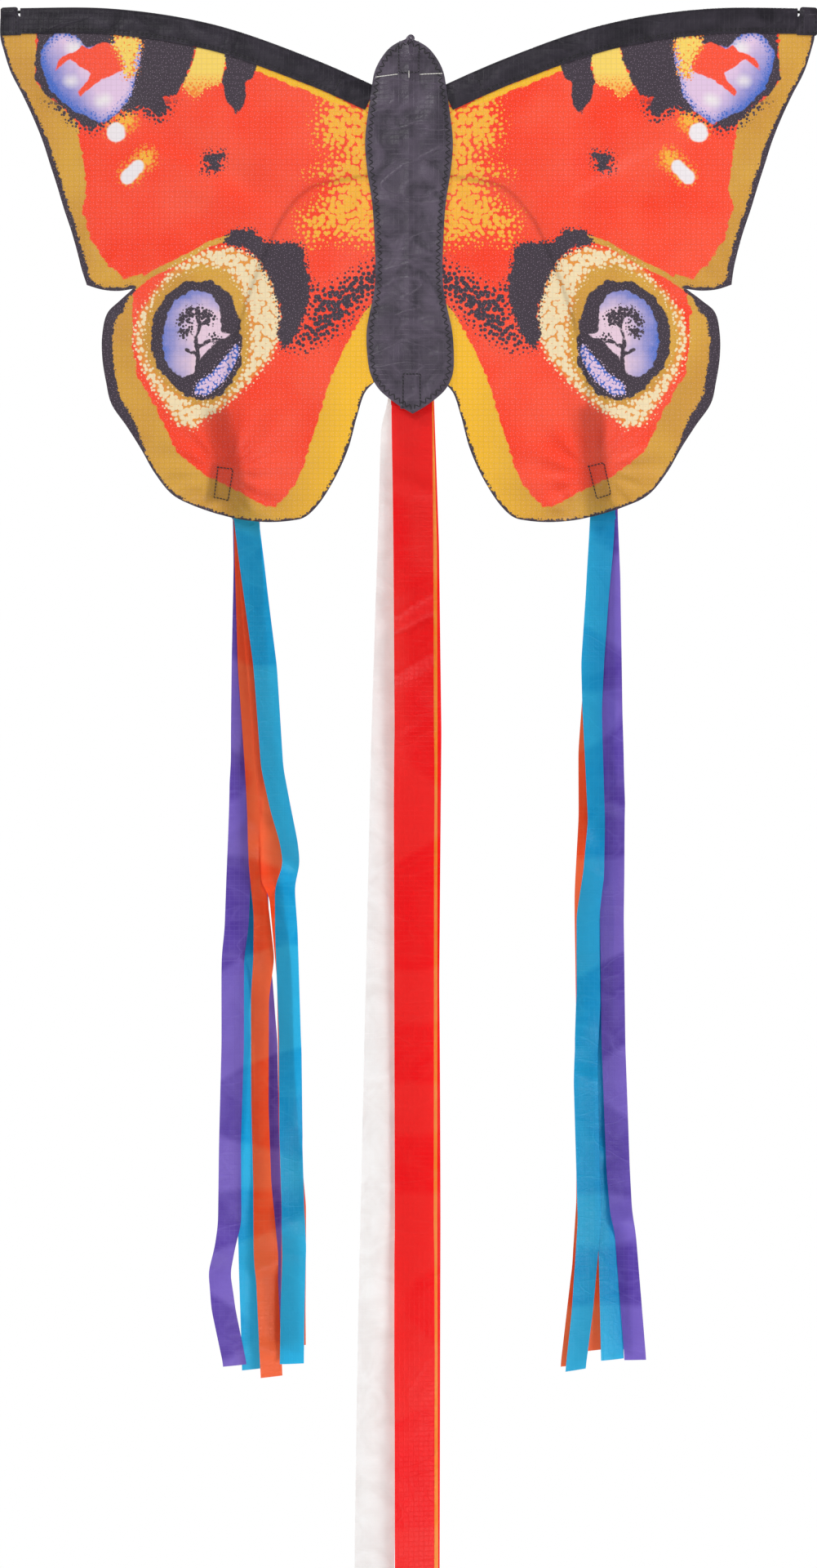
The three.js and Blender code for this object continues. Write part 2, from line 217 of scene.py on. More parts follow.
# A round tube along a path, with closed, slightly rounded ends.
def tubeAlong(path, radius, sides):
    path = np.array(path, float)
    tangents = np.gradient(path, axis=0)
    tangents /= np.linalg.norm(tangents, axis=1)[:, None]
    upright = np.array((0, 1, 0)) if abs(tangents[0][1]) < 0.9 else np.array((0, 0, 1))
    points, faces = [], []
    for centre, along in zip(path, tangents):
        across = np.cross(along, upright)
        across /= np.linalg.norm(across)
        up = np.cross(across, along)
        for k in range(sides):
            turn = 2 * math.pi * k / sides
            points.append(tuple(centre + radius * (math.cos(turn) * across + math.sin(turn) * up)))
    for i in range(len(path) - 1):
        for k in range(sides):
            a, b = i * sides + k, i * sides + (k + 1) % sides
            faces.append((a, b, b + sides, a + sides))
    points += [tuple(path[0] - tangents[0] * radius * 0.2), tuple(path[-1] + tangents[-1] * radius * 0.2)]
    first, last, top = len(points) - 2, len(points) - 1, (len(path) - 1) * sides
    for k in range(sides):
        faces.append((first, (k + 1) % sides, k))
        faces.append((last, top + k, top + (k + 1) % sides))
    return points, faces


# View, light and room
view = {"distance": 3000, "centreX": -0.3, "centreZ": -453.2, "height": 1001.5}
cameraData = bpy.data.cameras.new("camera")
cameraData.sensor_width = 36
cameraData.lens = 36 * view["distance"] / view["height"]
cameraObject = bpy.data.objects.new("camera", cameraData)
cameraObject.location = metres((view["centreX"], -view["distance"], view["centreZ"]))
cameraObject.rotation_euler = (math.pi / 2, 0, 0)
bpy.context.scene.collection.objects.link(cameraObject)
bpy.context.scene.camera = cameraObject
bpy.context.scene.view_settings.view_transform = "Standard"

# Each light: where it is and what it faces in metres, its size in metres, its power in watts.
studio = {
    "air": 0.36, "backdrop": 1.0, "floorZ": -1290, "floorHalf": 1900,
    "lights": {
        "key softbox": ((-2.1, -1.5, 1.6), (0, 0, -0.3), 0.7, 27),
        "front softbox": ((-0.7, -2.4, 0.9), (0, 0, -0.2), 0.5, 9),
        "low fill": ((0.9, -1.2, -1.25), (0, 0, -0.8), 0.8, 15.5),
        "light behind": ((0.6, 1.5, 0.7), (0, 0, -0.2), 1.4, 30),
    },
}


def softLight(name, position, target, size, power):
    data = bpy.data.lights.new(name, "AREA")
    data.shape, data.size, data.energy = "DISK", size, power
    lamp = bpy.data.objects.new(name, data)
    lamp.location = position
    lamp.rotation_euler = (Vector(target) - Vector(position)).to_track_quat("-Z", "Y").to_euler()
    bpy.context.scene.collection.objects.link(lamp)


def buildRoom():
    # even white air: plain white to look at, dimmer as a light, so the softboxes shape the cloth
    world = bpy.data.worlds.new("soft white air")
    world.use_nodes = True
    bpy.context.scene.world = world
    tree = world.node_tree
    air = tree.nodes["Background"]
    air.inputs["Color"].default_value = linearColour("#ffffff")
    air.inputs["Strength"].default_value = studio["air"]
    white = addNode(tree, "ShaderNodeBackground", {"Color": linearColour("#ffffff"), "Strength": studio["backdrop"]})
    seen = addNode(tree, "ShaderNodeLightPath").outputs["Is Camera Ray"]
    mix = addNode(tree, "ShaderNodeMixShader", {0: seen, 1: air.outputs[0], 2: white.outputs[0]})
    tree.links.new(mix.outputs[0], tree.nodes["World Output"].inputs["Surface"])
    for name, light in studio["lights"].items():
        softLight(name, *light)

    paper = bpy.data.materials.new("white floor paper")
    paper.use_nodes = True
    sheet = paper.node_tree.nodes["Principled BSDF"].inputs
    sheet["Base Color"].default_value = linearColour("#f2f2f0")
    sheet["Roughness"].default_value = 0.85
    sheet["Emission Color"].default_value = linearColour("#ffffff")
    sheet["Emission Strength"].default_value = 0.1
    half, level = studio["floorHalf"], studio["floorZ"]
    points = [(-half, -half, level), (half, -half, level), (half, half, level), (-half, half, level)]
    meshPiece("floor", points, [(0, 1, 2, 3)], paper)


buildRoom()
print("room and camera ready")


# Materials
def newMaterial(name):
    material = bpy.data.materials.new(name)
    material.use_nodes = True
    material.node_tree.nodes.remove(material.node_tree.nodes["Principled BSDF"])
    return material, material.node_tree


# Places on the cloth in millimetres: a print is mirrored about the middle, plain cloth isn't.
def clothPlaces(tree, mirror=False):
    spot = addNode(tree, "ShaderNodeTexCoord").outputs["Object"]
    spot = addNode(tree, "ShaderNodeVectorMath", {0: spot, 1: (1000, 1000, 1000)}, operation="MULTIPLY").outputs[0]
    parts = addNode(tree, "ShaderNodeSeparateXYZ", {"Vector": spot}).outputs
    across = parts["X"]
    if mirror:
        across = addNode(tree, "ShaderNodeMath", {0: across}, operation="ABSOLUTE").outputs[0]
    flat = addNode(tree, "ShaderNodeCombineXYZ", {"X": across, "Y": parts["Z"]}).outputs["Vector"]
    return across, parts["Z"], flat


# The raised square grid of ripstop: 1 on a rib, 0 between ribs.
def ripstop(tree, across, up, pitch, rib):
    lines = {}
    for i, value in enumerate((across, up)):
        wave = addNode(tree, "ShaderNodeMath", {0: value, 1: pitch / 2}, operation="PINGPONG").outputs[0]
        lines[i] = fade(tree, wave, rib, 0.0)
    return addNode(tree, "ShaderNodeMath", lines, operation="MAXIMUM").outputs[0]


# Thin nylon seen from either side: a glossy dyed face, and the light that comes through it.
def nylonShader(tree, colour, height, through, roughness, shine):
    normal = addNode(
        tree, "ShaderNodeBump", {"Height": height, "Strength": 0.4, "Distance": 0.0004}
    ).outputs["Normal"]
    face = addNode(tree, "ShaderNodeBsdfPrincipled", {
        "Base Color": colour, "Roughness": roughness, "Normal": normal, "Specular IOR Level": shine,
        "Sheen Weight": 0.12, "Sheen Roughness": 0.4,
    })
    glow = addNode(tree, "ShaderNodeBsdfTranslucent", {"Color": colour})
    mixed = addNode(tree, "ShaderNodeMixShader", {0: through, 1: face.outputs[0], 2: glow.outputs[0]})
    tree.links.new(mixed.outputs[0], tree.nodes["Material Output"].inputs["Surface"])


# How one-colour cloth is woven and creased, and how much painted sheen its creases get: sizes in mm, or per mm for
# the scale of a noise.
weave = {
    "pitch": 3.2, "rib": 0.3, "ribTint": 0.24, "ribHeight": 0.5, "threads": 2.2, "threadHeight": 0.35,
    "crumple": 0.05, "crumpleSheenTint": 0.75, "crumpleHeight": 5.0, "fold": 0.035, "foldWidth": 0.02, "foldSheenTint": 0.35,
    "section": 0.014,
}


# Ripstop nylon dyed in one colour: faint grid and small creases, with painted sheen in a paler colour on its
# crumples, its fold lines and, for satin, its flat stretches.
def plainNylon(name, hexColour, gridAndSheenColour, through=0.34, roughness=0.42, folds=0.6, shine=0.3, satinSheen=0.0):
    material, tree = newMaterial(name)
    across, up, flat = clothPlaces(tree)

    def noise(scale, detail, distortion, squash=1.0):
        places = addNode(
            tree, "ShaderNodeVectorMath", {0: flat, 1: (squash, 1.0, 1.0)}, operation="MULTIPLY"
        ).outputs[0]
        return addNode(tree, "ShaderNodeTexNoise", {
            "Vector": places, "Scale": scale, "Detail": detail, "Distortion": distortion,
        }).outputs["Fac"]

    def times(value, factor, extra=0.0):
        return addNode(tree, "ShaderNodeMath", {0: value, 1: factor, 2: extra}, operation="MULTIPLY_ADD").outputs[0]

    grid = ripstop(tree, across, up, weave["pitch"], weave["rib"])
    threads = noise(weave["threads"], 2.0, 0.0)
    crumple = noise(weave["crumple"], 3.0, 1.2)
    # sharp fold lines, mostly across the cloth: where a stretched noise passes its middle value; raised by the bump,
    # and painted paler as a painted highlight
    wander = addNode(tree, "ShaderNodeMath", {0: noise(weave["fold"], 1.5, 0.8, 0.4), 1: 0.5}, operation="SUBTRACT")
    wander = addNode(tree, "ShaderNodeMath", {0: wander.outputs[0]}, operation="ABSOLUTE").outputs[0]
    fold = fade(tree, wander, 0.0, weave["foldWidth"], 1.0, 0.0)
    # painted satin sheen: the ribbon is painted paler or deeper from one crease to the next
    section = fade(tree, noise(weave["section"], 0.0, 0.0, 0.6), 0.49, 0.52, most=satinSheen)
    # painted sheen: paler patches where the crumple noise is high, the noise that also raises the bump; less of it on
    # satin
    crumpleSheen = fade(tree, crumple, 0.35, 0.68, most=weave["crumpleSheenTint"] * (1.0 - satinSheen))
    masks = (crumpleSheen, section, times(grid, weave["ribTint"]), times(fold, weave["foldSheenTint"] * folds))
    # the ribs take a little of the pale colour as the grid's pattern; the crumples, flat stretches and fold lines
    # take it as painted sheen
    colour = layered(tree, linearColour(hexColour), *[(mask, linearColour(gridAndSheenColour)) for mask in masks])
    height = times(grid, weave["ribHeight"], times(threads, weave["threadHeight"]))
    height = times(fold, folds, times(crumple, weave["crumpleHeight"], height))
    nylonShader(tree, colour, height, through, roughness, shine)
    return material


# Moulded or drawn plastic: fine drag marks along it, dust in them, and small changes of gloss.
def plainPlastic(name, hexColour, dustColour, roughness, scale):
    material, tree = newMaterial(name)
    spot = addNode(tree, "ShaderNodeTexCoord").outputs["Object"]
    marks = addNode(tree, "ShaderNodeTexNoise", {"Vector": spot, "Scale": scale, "Detail": 4.0}).outputs["Fac"]
    normal = addNode(tree, "ShaderNodeBump", {"Height": marks, "Strength": 0.2, "Distance": 0.0002}).outputs["Normal"]
    dust = (fade(tree, marks, 0.5, 0.8, most=0.4), linearColour(dustColour))
    face = addNode(tree, "ShaderNodeBsdfPrincipled", {
        "Base Color": layered(tree, linearColour(hexColour), dust),
        "Roughness": fade(tree, marks, 0.3, 0.7, roughness - 0.08, roughness + 0.12), "Normal": normal,
    })
    tree.links.new(face.outputs[0], tree.nodes["Material Output"].inputs["Surface"])
    return material


# Twisted yarn: the strands show as slanting ridges along the thread or line, with painted shade in the grooves
# between them.
def twistedYarn(name, hexColour, shadeColour, pitch):
    material, tree = newMaterial(name)
    spot = addNode(tree, "ShaderNodeTexCoord").outputs["Object"]
    strands = addNode(tree, "ShaderNodeTexWave", {
        "Vector": spot, "Scale": 1000 / pitch / 6, "Distortion": 1.0, "Detail": 1.0,
    }, wave_type="BANDS", bands_direction="DIAGONAL").outputs["Fac"]
    normal = addNode(
        tree, "ShaderNodeBump", {"Height": strands, "Strength": 0.5, "Distance": 0.0001}
    ).outputs["Normal"]
    face = addNode(tree, "ShaderNodeBsdfPrincipled", {
        # painted shade: the shade colour lies in the grooves between strands, the yarn's own colour on the ridges
        "Base Color": layered(tree, linearColour(shadeColour), (strands, linearColour(hexColour))),
        "Roughness": 0.6, "Normal": normal, "Sheen Weight": 0.2,
    })
    tree.links.new(face.outputs[0], tree.nodes["Material Output"].inputs["Surface"])
    return material


# woven and coated ripstop: soft violet-black, with a painted silvery highlight on its creases and crumples
blackNylon = plainNylon(
    "black ripstop nylon", "#3b3441", "#695d70", through=0.04, roughness=0.33, folds=1.0, shine=0.6
)
# two layers of the same cloth: deeper black, and no light through it
sleeveNylon = plainNylon("black sleeve nylon", "#211d26", "#403a45", through=0.03, roughness=0.36, shine=0.3)
# thin dyed ribbons: clear colour that glows with the light behind, with painted sheen that makes each flat stretch
# paler or deeper
blueNylon = plainNylon("blue nylon ribbon", "#00a0de", "#34c2f2", satinSheen=0.6)
orangeNylon = plainNylon("orange nylon ribbon", "#ff4c1a", "#ff7644", satinSheen=0.6)
purpleNylon = plainNylon("purple nylon ribbon", "#5a3fa8", "#8a73d4", satinSheen=0.6)
redNylon = plainNylon("red nylon ribbon", "#ff0612", "#ff302c", satinSheen=0.6)
goldNylon = plainNylon("gold nylon ribbon", "#ffb02a", "#ffc55c", satinSheen=0.6)
# undyed: only its edges and grid show
whiteNylon = plainNylon("white nylon ribbon", "#f3f0ef", "#ffffff", through=0.3)
glassFibre = plainPlastic("drawn glass fibre", "#1d1c20", "#3c3b40", 0.35, 260.0)  # dark, a little glossy, drag marks
vinyl = plainPlastic("flexible vinyl tube", "#17161a", "#35333a", 0.55, 180.0)  # duller than the spars, dusty
blackThread = twistedYarn("black sewing thread", "#19161c", "#0c0a0e", 0.4)  # polyester: dark slanting twist
whiteLine = twistedYarn("white braided line", "#f4f2ee", "#c9c5bf", 0.5)  # bright line with grey between strands
print("plain materials ready")

# Bridle line and tow loop
bridle = {
    "diameter": 0.6, "length": 44.0, "loopRadius": 2.1, "loopThread": 0.3, "loopCentre": (0, -1.8, -0.1), "knot": 1.6,
    "route": [
        (-21.4, -1.75, -1.9), (-17, -1.8, -1.3), (-13, -1.8, -0.8), (-10, -1.8, -0.4), (-8.7, -1.7, -0.2),
        (-7.6, -1.3, -0.1), (-6.5, -0.75, -0.1), (-5, -0.5, -0.1), (-2.5, -0.5, -0.1), (0, -0.5, -0.1),
        (2.5, -0.5, -0.1), (5, -0.5, -0.1), (6.5, -0.75, -0.1), (7.6, -1.3, -0.1), (8.7, -1.7, -0.1), (10, -1.8, 0),
        (13, -1.8, 0.1), (17, -1.8, 0.3), (21.4, -1.75, 0.4),
    ],
}


def makeBridle():
    data = bpy.data.curves.new("bridleCord", "CURVE")
    data.dimensions = "3D"
    data.bevel_depth = bridle["diameter"] / 2000
    data.bevel_resolution = 3
    data.use_fill_caps = True
    path = smoothPath(bridle["route"], 0.7)
    spline = data.splines.new("POLY")
    spline.points.add(len(path) - 1)
    for point, spot in zip(spline.points, path):
        point.co = (*metres(spot), 1)
    data.materials.append(whiteLine)
    cord = bpy.data.objects.new("bridleCord", data)
    bpy.context.scene.collection.objects.link(cord)

    turns = np.linspace(0, 2 * math.pi, 37)[:-1]
    sides, points, faces = 8, [], []
    for i, t in enumerate(turns):
        outwards = np.array((0, math.cos(t), math.sin(t)))
        centre = np.array(bridle["loopCentre"]) + bridle["loopRadius"] * outwards
        thick = bridle["loopThread"] * (bridle["knot"] if i < 3 or i > 33 else 1)
        for k in range(sides):
            turn = 2 * math.pi * k / sides
            points.append(tuple(centre + thick * (math.cos(turn) * outwards + math.sin(turn) * np.array((1, 0, 0)))))
            a, b = i * sides + k, i * sides + (k + 1) % sides
            ahead = (i + 1) % len(turns) * sides
            faces.append((a, b, ahead + (k + 1) % sides, ahead + k))
    loop = meshPiece("towLoop", points, faces, whiteLine)
    place(cord, "body_frame", "line", "bridle_line")
    place(loop, "body_frame", "line", "tow_loop")


makeBridle()
print("bridle ready")

# Spar curves
spars = {
    "plane": 3.0, "radius": 1.0,
    "leading": [(11, -14.4), (63, 8.5), (125, 29.8), (188, 39.8), (258.5, 40.3)],
    "arch": [
        (11, -61.3), (40, -65.5), (61, -70.5), (77, -86), (90, -111), (105, -151.8), (114, -187), (118.3, -245),
        (122.3, -268),
    ],
}
leadingPath = smoothPath(spars["leading"], 1.0)
archPath = smoothPath(spars["arch"], 1.0)


# Points a given distance below the leading spar, square to it.
def belowLeading(drop, fromX, toX, spacing=2.0):
    path = leadingPath[(leadingPath[:, 0] >= fromX) & (leadingPath[:, 0] <= toX)]
    along = np.gradient(path, axis=0)
    along /= np.linalg.norm(along, axis=1)[:, None]
    return evenly(np.stack([path[:, 0] + along[:, 1] * drop, path[:, 1] - along[:, 0] * drop], 1), spacing)


# The two wings aren't cut quite alike.
def sideWarp(x, z, side):
    fore, hind = ease(z, -150, -120), 1 - ease(z, -150, -120)
    reach = ease(x, 60, 200)
    return x - side * reach * (1.0 * fore - 1.3 * hind), z


# Printed sail
# Slack is (depth, size, seed), and a pucker is (centre, reach, how many rays, depth).
sail = {
    "spacing": 1.9, "archLine": 0.2, "pocket": (119.5, -261),
    "slack": [(2.6, 62, 3), (1.0, 27, 11)],
    "puckers": [
        ((120, -255), 66, 13, 1.1), ((112, -283), 44, 9, 0.9), ((24, -62), 46, 9, 0.4), ((206, -132), 50, 8, 0.5),
    ],
    "fold": {"start": (172, -38), "end": (84, -88), "depth": 2.8, "sharp": 5, "wide": 17, "long": 0.42},
    "foreEdge": [
        (260.2, 35.6), (260.2, 24), (258.2, 16), (253.5, 1.5), (246, -13), (239, -28), (233, -43), (228.5, -57),
        (224, -71), (219.5, -86), (214.5, -101), (210.5, -115.5), (208, -126), (206, -134.5),
    ],
    "notch": [(206, -134.5), (196, -137.5), (186, -138.2), (177, -137)],
    "hindEdge": [
        (177, -137), (186, -144.5), (194, -152), (197.3, -166), (197.3, -181), (195, -196), (191.7, -210),
        (181.5, -225), (172, -240), (164, -254), (152, -268.5), (137, -276), (112, -283.5), (92, -286), (75, -285),
        (67, -283), (59, -276), (49, -261), (39, -239.5), (33, -217.5), (28, -203), (22, -196.5),
    ],
    "foot": [(22, -196.5), (10.3, -198), (0, -198)],
}

# The print, drawn for one wing as (distance from the middle, height).
printShapes = {
    "ochreEdge": [
        (280, 60), (237, 60), (237, 16), (238, -3), (231, -13), (220, -21), (211, -30), (208, -50), (205, -72),
        (208, -86), (203, -105), (192, -120), (182, -130), (167, -128), (176, -137), (215, -143), (280, -143),
    ],
    "hindField": [
        (176, -136), (179, -153), (176, -190), (165, -209), (157, -224), (150, -241), (132, -255), (112, -265),
        (94, -275), (86, -277), (73, -263), (64, -240), (58, -219), (51, -197), (42, -177), (32, -157), (20, -141),
        (9, -124), (9, -60), (105, -57), (160, -109),
    ],
    "foreTop": [
        (237, 60), (237, 16), (238, -3), (231, -13), (220, -21), (211, -30), (201, -34), (187, -24), (172, -20),
        (165, -23), (159, -27), (154, -21), (157, -15), (148, -13), (143, -4), (137, 9), (134, 40), (134, 60),
    ],
    "foreEye": [
        (221, 28), (211, 24), (205, 17), (188, 20), (184, 24), (172, 23), (170, 13), (173, 0), (176, -13), (184, -24),
        (196, -32), (205, -26), (212, -24), (219, -19), (228, -10), (233, 2), (235, 14), (229, 23),
    ],
    "foreEyeRed": [
        (212, 14), (208, 19), (204, 16), (194, 21), (186, 18), (182, 10), (181, 3), (187, 0), (196, -3), (203, -9),
        (209, -14), (211, -11), (204, -4), (202, 1), (209, 5), (216, 10), (226, 2), (223, 9), (217, 13),
    ],
    "foreEyeGold": [(188, 21), (185, 25), (173, 24), (171, 18), (175, 8), (174, 1), (180, -1), (182, 10), (187, 16)],
    "goldPatch": [(134, 20), (116, 14), (118, 2), (121, -6), (129, -8), (136, -15), (143, -9), (143, -3), (139, 4)],
    "wedge": [
        (117, 16), (97, 8), (98, 1), (104, -5), (104, -14), (106, -22), (110, -25), (116, -17), (119, -4), (117, 5)
    ],
    "innerDust": [
        (14, 4), (32, -16), (48, -11), (56, -14), (61, -30), (59, -46), (47, -51), (57, -58), (65, -64), (52, -68),
        (60, -82), (71, -89), (72, -98), (64, -110), (52, -105), (40, -108), (16, -112),
    ],
    "darkDust": [
        (12, -112), (34, -124), (54, -135), (64, -132), (67, -141), (65, -151), (71, -164), (79, -176), (66, -178),
        (46, -167), (30, -150), (14, -138),
    ],
    "crescent": [
        (118, -107), (112, -100), (101, -99), (92, -107), (78, -108), (69, -109), (66, -120), (64, -136), (66, -150),
        (70, -162), (80, -176), (83, -166), (82, -150), (87, -134), (96, -117), (105, -111),
    ],
    "creamOuter": [
        (165, -141), (152, -124), (131, -111), (112, -109), (97, -115), (87, -127), (82, -142), (80, -160),
        (85, -178), (98, -194), (114, -209), (138, -227), (150, -224), (164, -203), (174, -186), (178, -168),
        (175, -152),
    ],
    "creamInner": [
        (161, -141), (149, -129), (132, -122), (117, -125), (108, -137), (103, -158), (104, -182), (112, -198),
        (124, -209), (138, -210), (154, -200), (167, -184), (171, -168), (167, -152),
    ],
    "hindEye": [
        (164, -155), (156, -141), (144, -133), (127, -132), (116, -139), (110, -154), (107, -172), (108, -185),
        (114, -196), (121, -205), (133, -208), (145, -204), (154, -195), (162, -187), (165, -174),
    ],
    "hindEyeSky": [
        (138, -137), (127, -138), (121, -149), (119, -164), (113, -166), (121, -170), (132, -179), (137, -191),
        (146, -194), (156, -187), (160, -172), (158, -156), (151, -144),
    ],
    "hindEyeMoon": [
        (110, -171), (109, -178), (113, -188), (120, -197), (130, -205), (138, -204), (136, -197), (127, -191),
        (121, -184),
    ],
}
# Small marks and lines of the print, each as (start, end, half its width).
printSpots = {
    "whiteSpots": [((186, -36.5), (186, -37.5), 5.8), ((179.5, -65.5), (172.5, -58.5), 4.2)],
    "haloes": [((186, -35), (179, -29), 7.5), ((178, -64), (167, -53), 7.5)],
    "splat": [((126, -54), (123.5, -58), 3.2), ((120, -52), (128, -54), 2.0), ((121, -58), (129, -60), 1.6)],
    "branches": [
        ((136.5, -192), (135.5, -180), 1.1), ((135.5, -180), (137, -170), 0.9), ((137, -170), (134.5, -160), 0.7),
        ((134.5, -160), (137, -150), 0.5), ((136, -174), (128, -170), 0.6), ((128, -170), (121, -172), 0.45),
        ((137, -168), (144, -163), 0.55), ((144, -163), (149, -165), 0.4), ((135, -161), (128, -155), 0.5),
        ((136, -179), (143, -176), 0.5), ((136, -156), (142, -149), 0.4),
    ],
    "eyeGlow": [((214, 17), (212, 17), 3.6), ((216, -4), (214, -4), 2.6), ((196, -17), (193, -16), 3.2)],
    "leaves": [
        ((128, -156), (134, -152), 4.5), ((141, -152), (146, -158), 4), ((126, -168), (121, -171), 2.5),
        ((145, -167), (140, -161), 2.5),
    ],
}


def sailOutline():
    top = belowLeading(4.2, 11.6, 247)
    run = [np.array([(0, -26), (5, -22)]), top, np.array([(260.2, 35.6)])]
    run += [smoothPath(sail[part], 2.0)[1:] for part in ("foreEdge", "notch", "hindEdge", "foot")]
    return np.vstack(run)


# The sail's depth: flat where it is sewn or rests on a spar, slack between, fluted at the free edges.
def sailDepth(places, side):
    toTop = nearPath(places, belowLeading(4.2, 11.6, 258))
    toArch = nearPath(places, archPath)
    toFree = np.minimum(*[nearPath(places, smoothPath(sail[part], 4.0)) for part in ("hindEdge", "foreEdge")])
    slack = sum(depth * bumpy(places, size, seed + side) for depth, size, seed in sail["slack"])
    depth = slack * ease(toTop, 12, 60) * ease(toArch, 3, 34) * ease(places[:, 0], 26, 60)
    flutes = np.sin((places[:, 0] * 0.5 - places[:, 1]) / 11 + side) * 0.9 + bumpy(places, 17, 21 + side) * 0.8
    depth += flutes * (1 - ease(toFree, 0, 26)) * ease(toArch, 3, 25) * ease(toTop, 10, 30)
    for centre, reach, count, lift in sail["puckers"]:
        away = places - np.array(centre)
        distance = np.linalg.norm(away, axis=1)
        rays = np.sin(np.arctan2(away[:, 1], away[:, 0]) * count + distance * 0.05 + side)
        depth += lift * rays * np.exp(-((distance - 12) / reach * 1.7) ** 2) * ease(distance, 9, 22)
    depth -= sail["archLine"] * np.exp(-(toArch / 4) ** 2) * ease(places[:, 0], 26, 40)
    fold = sail["fold"]
    start, end = np.array((fold["start"], fold["end"]), float)
    length = np.linalg.norm(end - start)
    along = (end - start) / length
    run = (places - start) @ along / length
    aside = (places - start) @ np.array((-along[1], along[0]))
    step = fold["depth"] * np.tanh(aside / fold["sharp"])
    depth += step * np.exp(-(aside / fold["wide"]) ** 2) * np.exp(-((run - 0.5) / fold["long"]) ** 2)
    toPocket = np.linalg.norm((places - np.array(sail["pocket"])) * np.array((1.3, 1)), axis=1)
    return np.clip(depth, -5, 0.25 + 1.15 * ease(toPocket, 14, 30))


# What the print reads: for each shape, how far inside it each place is.
def printAttributes(places):
    values = {name: insideBy(places, outline) for name, outline in printShapes.items()}
    for name, spots in printSpots.items():
        values[name] = np.max([size - nearPath(places, [start, end]) for start, end, size in spots], axis=0)
    x, down = places[:, 0], -places[:, 1]
    rim = 1.3 + 2.2 * ease(down, -30, 80) * (1 - ease(down, 128, 140))
    rim += 5.4 * ease(down, 138, 156) * (1 - ease(down, 212, 245)) * ease(x, 100, 160)
    rim -= 2.4 * (1 - ease(x, 20, 60)) * (1 - ease(down, 180, 200))
    freeEdge = np.vstack([smoothPath(sail[part], 3.0) for part in ("foreEdge", "notch", "hindEdge")])
    values["rim"] = rim - nearPath(places, freeEdge)
    values["creamRing"] = np.minimum(values["creamOuter"], -values["creamInner"])
    values["yellowInner"] = np.clip((95 - x) / 55, 0, 1) * ease(down, 120, 170)
    values["hindBand"] = 3.0 - nearPath(places, [(176, -136), (165, -128), (150, -121), (128, -109), (105, -101)])
    values["topGold"] = 1.7 - nearPath(places, belowLeading(16.5, 20, 120)) - 1.6 * ease(-x, -60, -25)
    return values


# The print's inks, and how the screen lays them.
inks = {
    "red": "#ff563b", "redDeep": "#ff4226", "ochre": "#d29a40", "ochreLight": "#e4b046", "yellow": "#fac032",
    "dust": "#fbb63f", "orange": "#fb8a36", "black": "#453c46", "gold": "#fbd868", "lilac": "#e6c9e6",
    "blue": "#4c70cb", "white": "#f2ebee", "cream": "#f6e2b8", "pink": "#eccfe0", "grid": "#5a2a28",
}
screen = {
    "pitch": 3.4, "rib": 0.35, "ribTint": 0.11, "scatter": 0.85, "dotEdge": 0.06, "through": 0.4, "roughness": 0.4,
    "shine": 0.4,
}


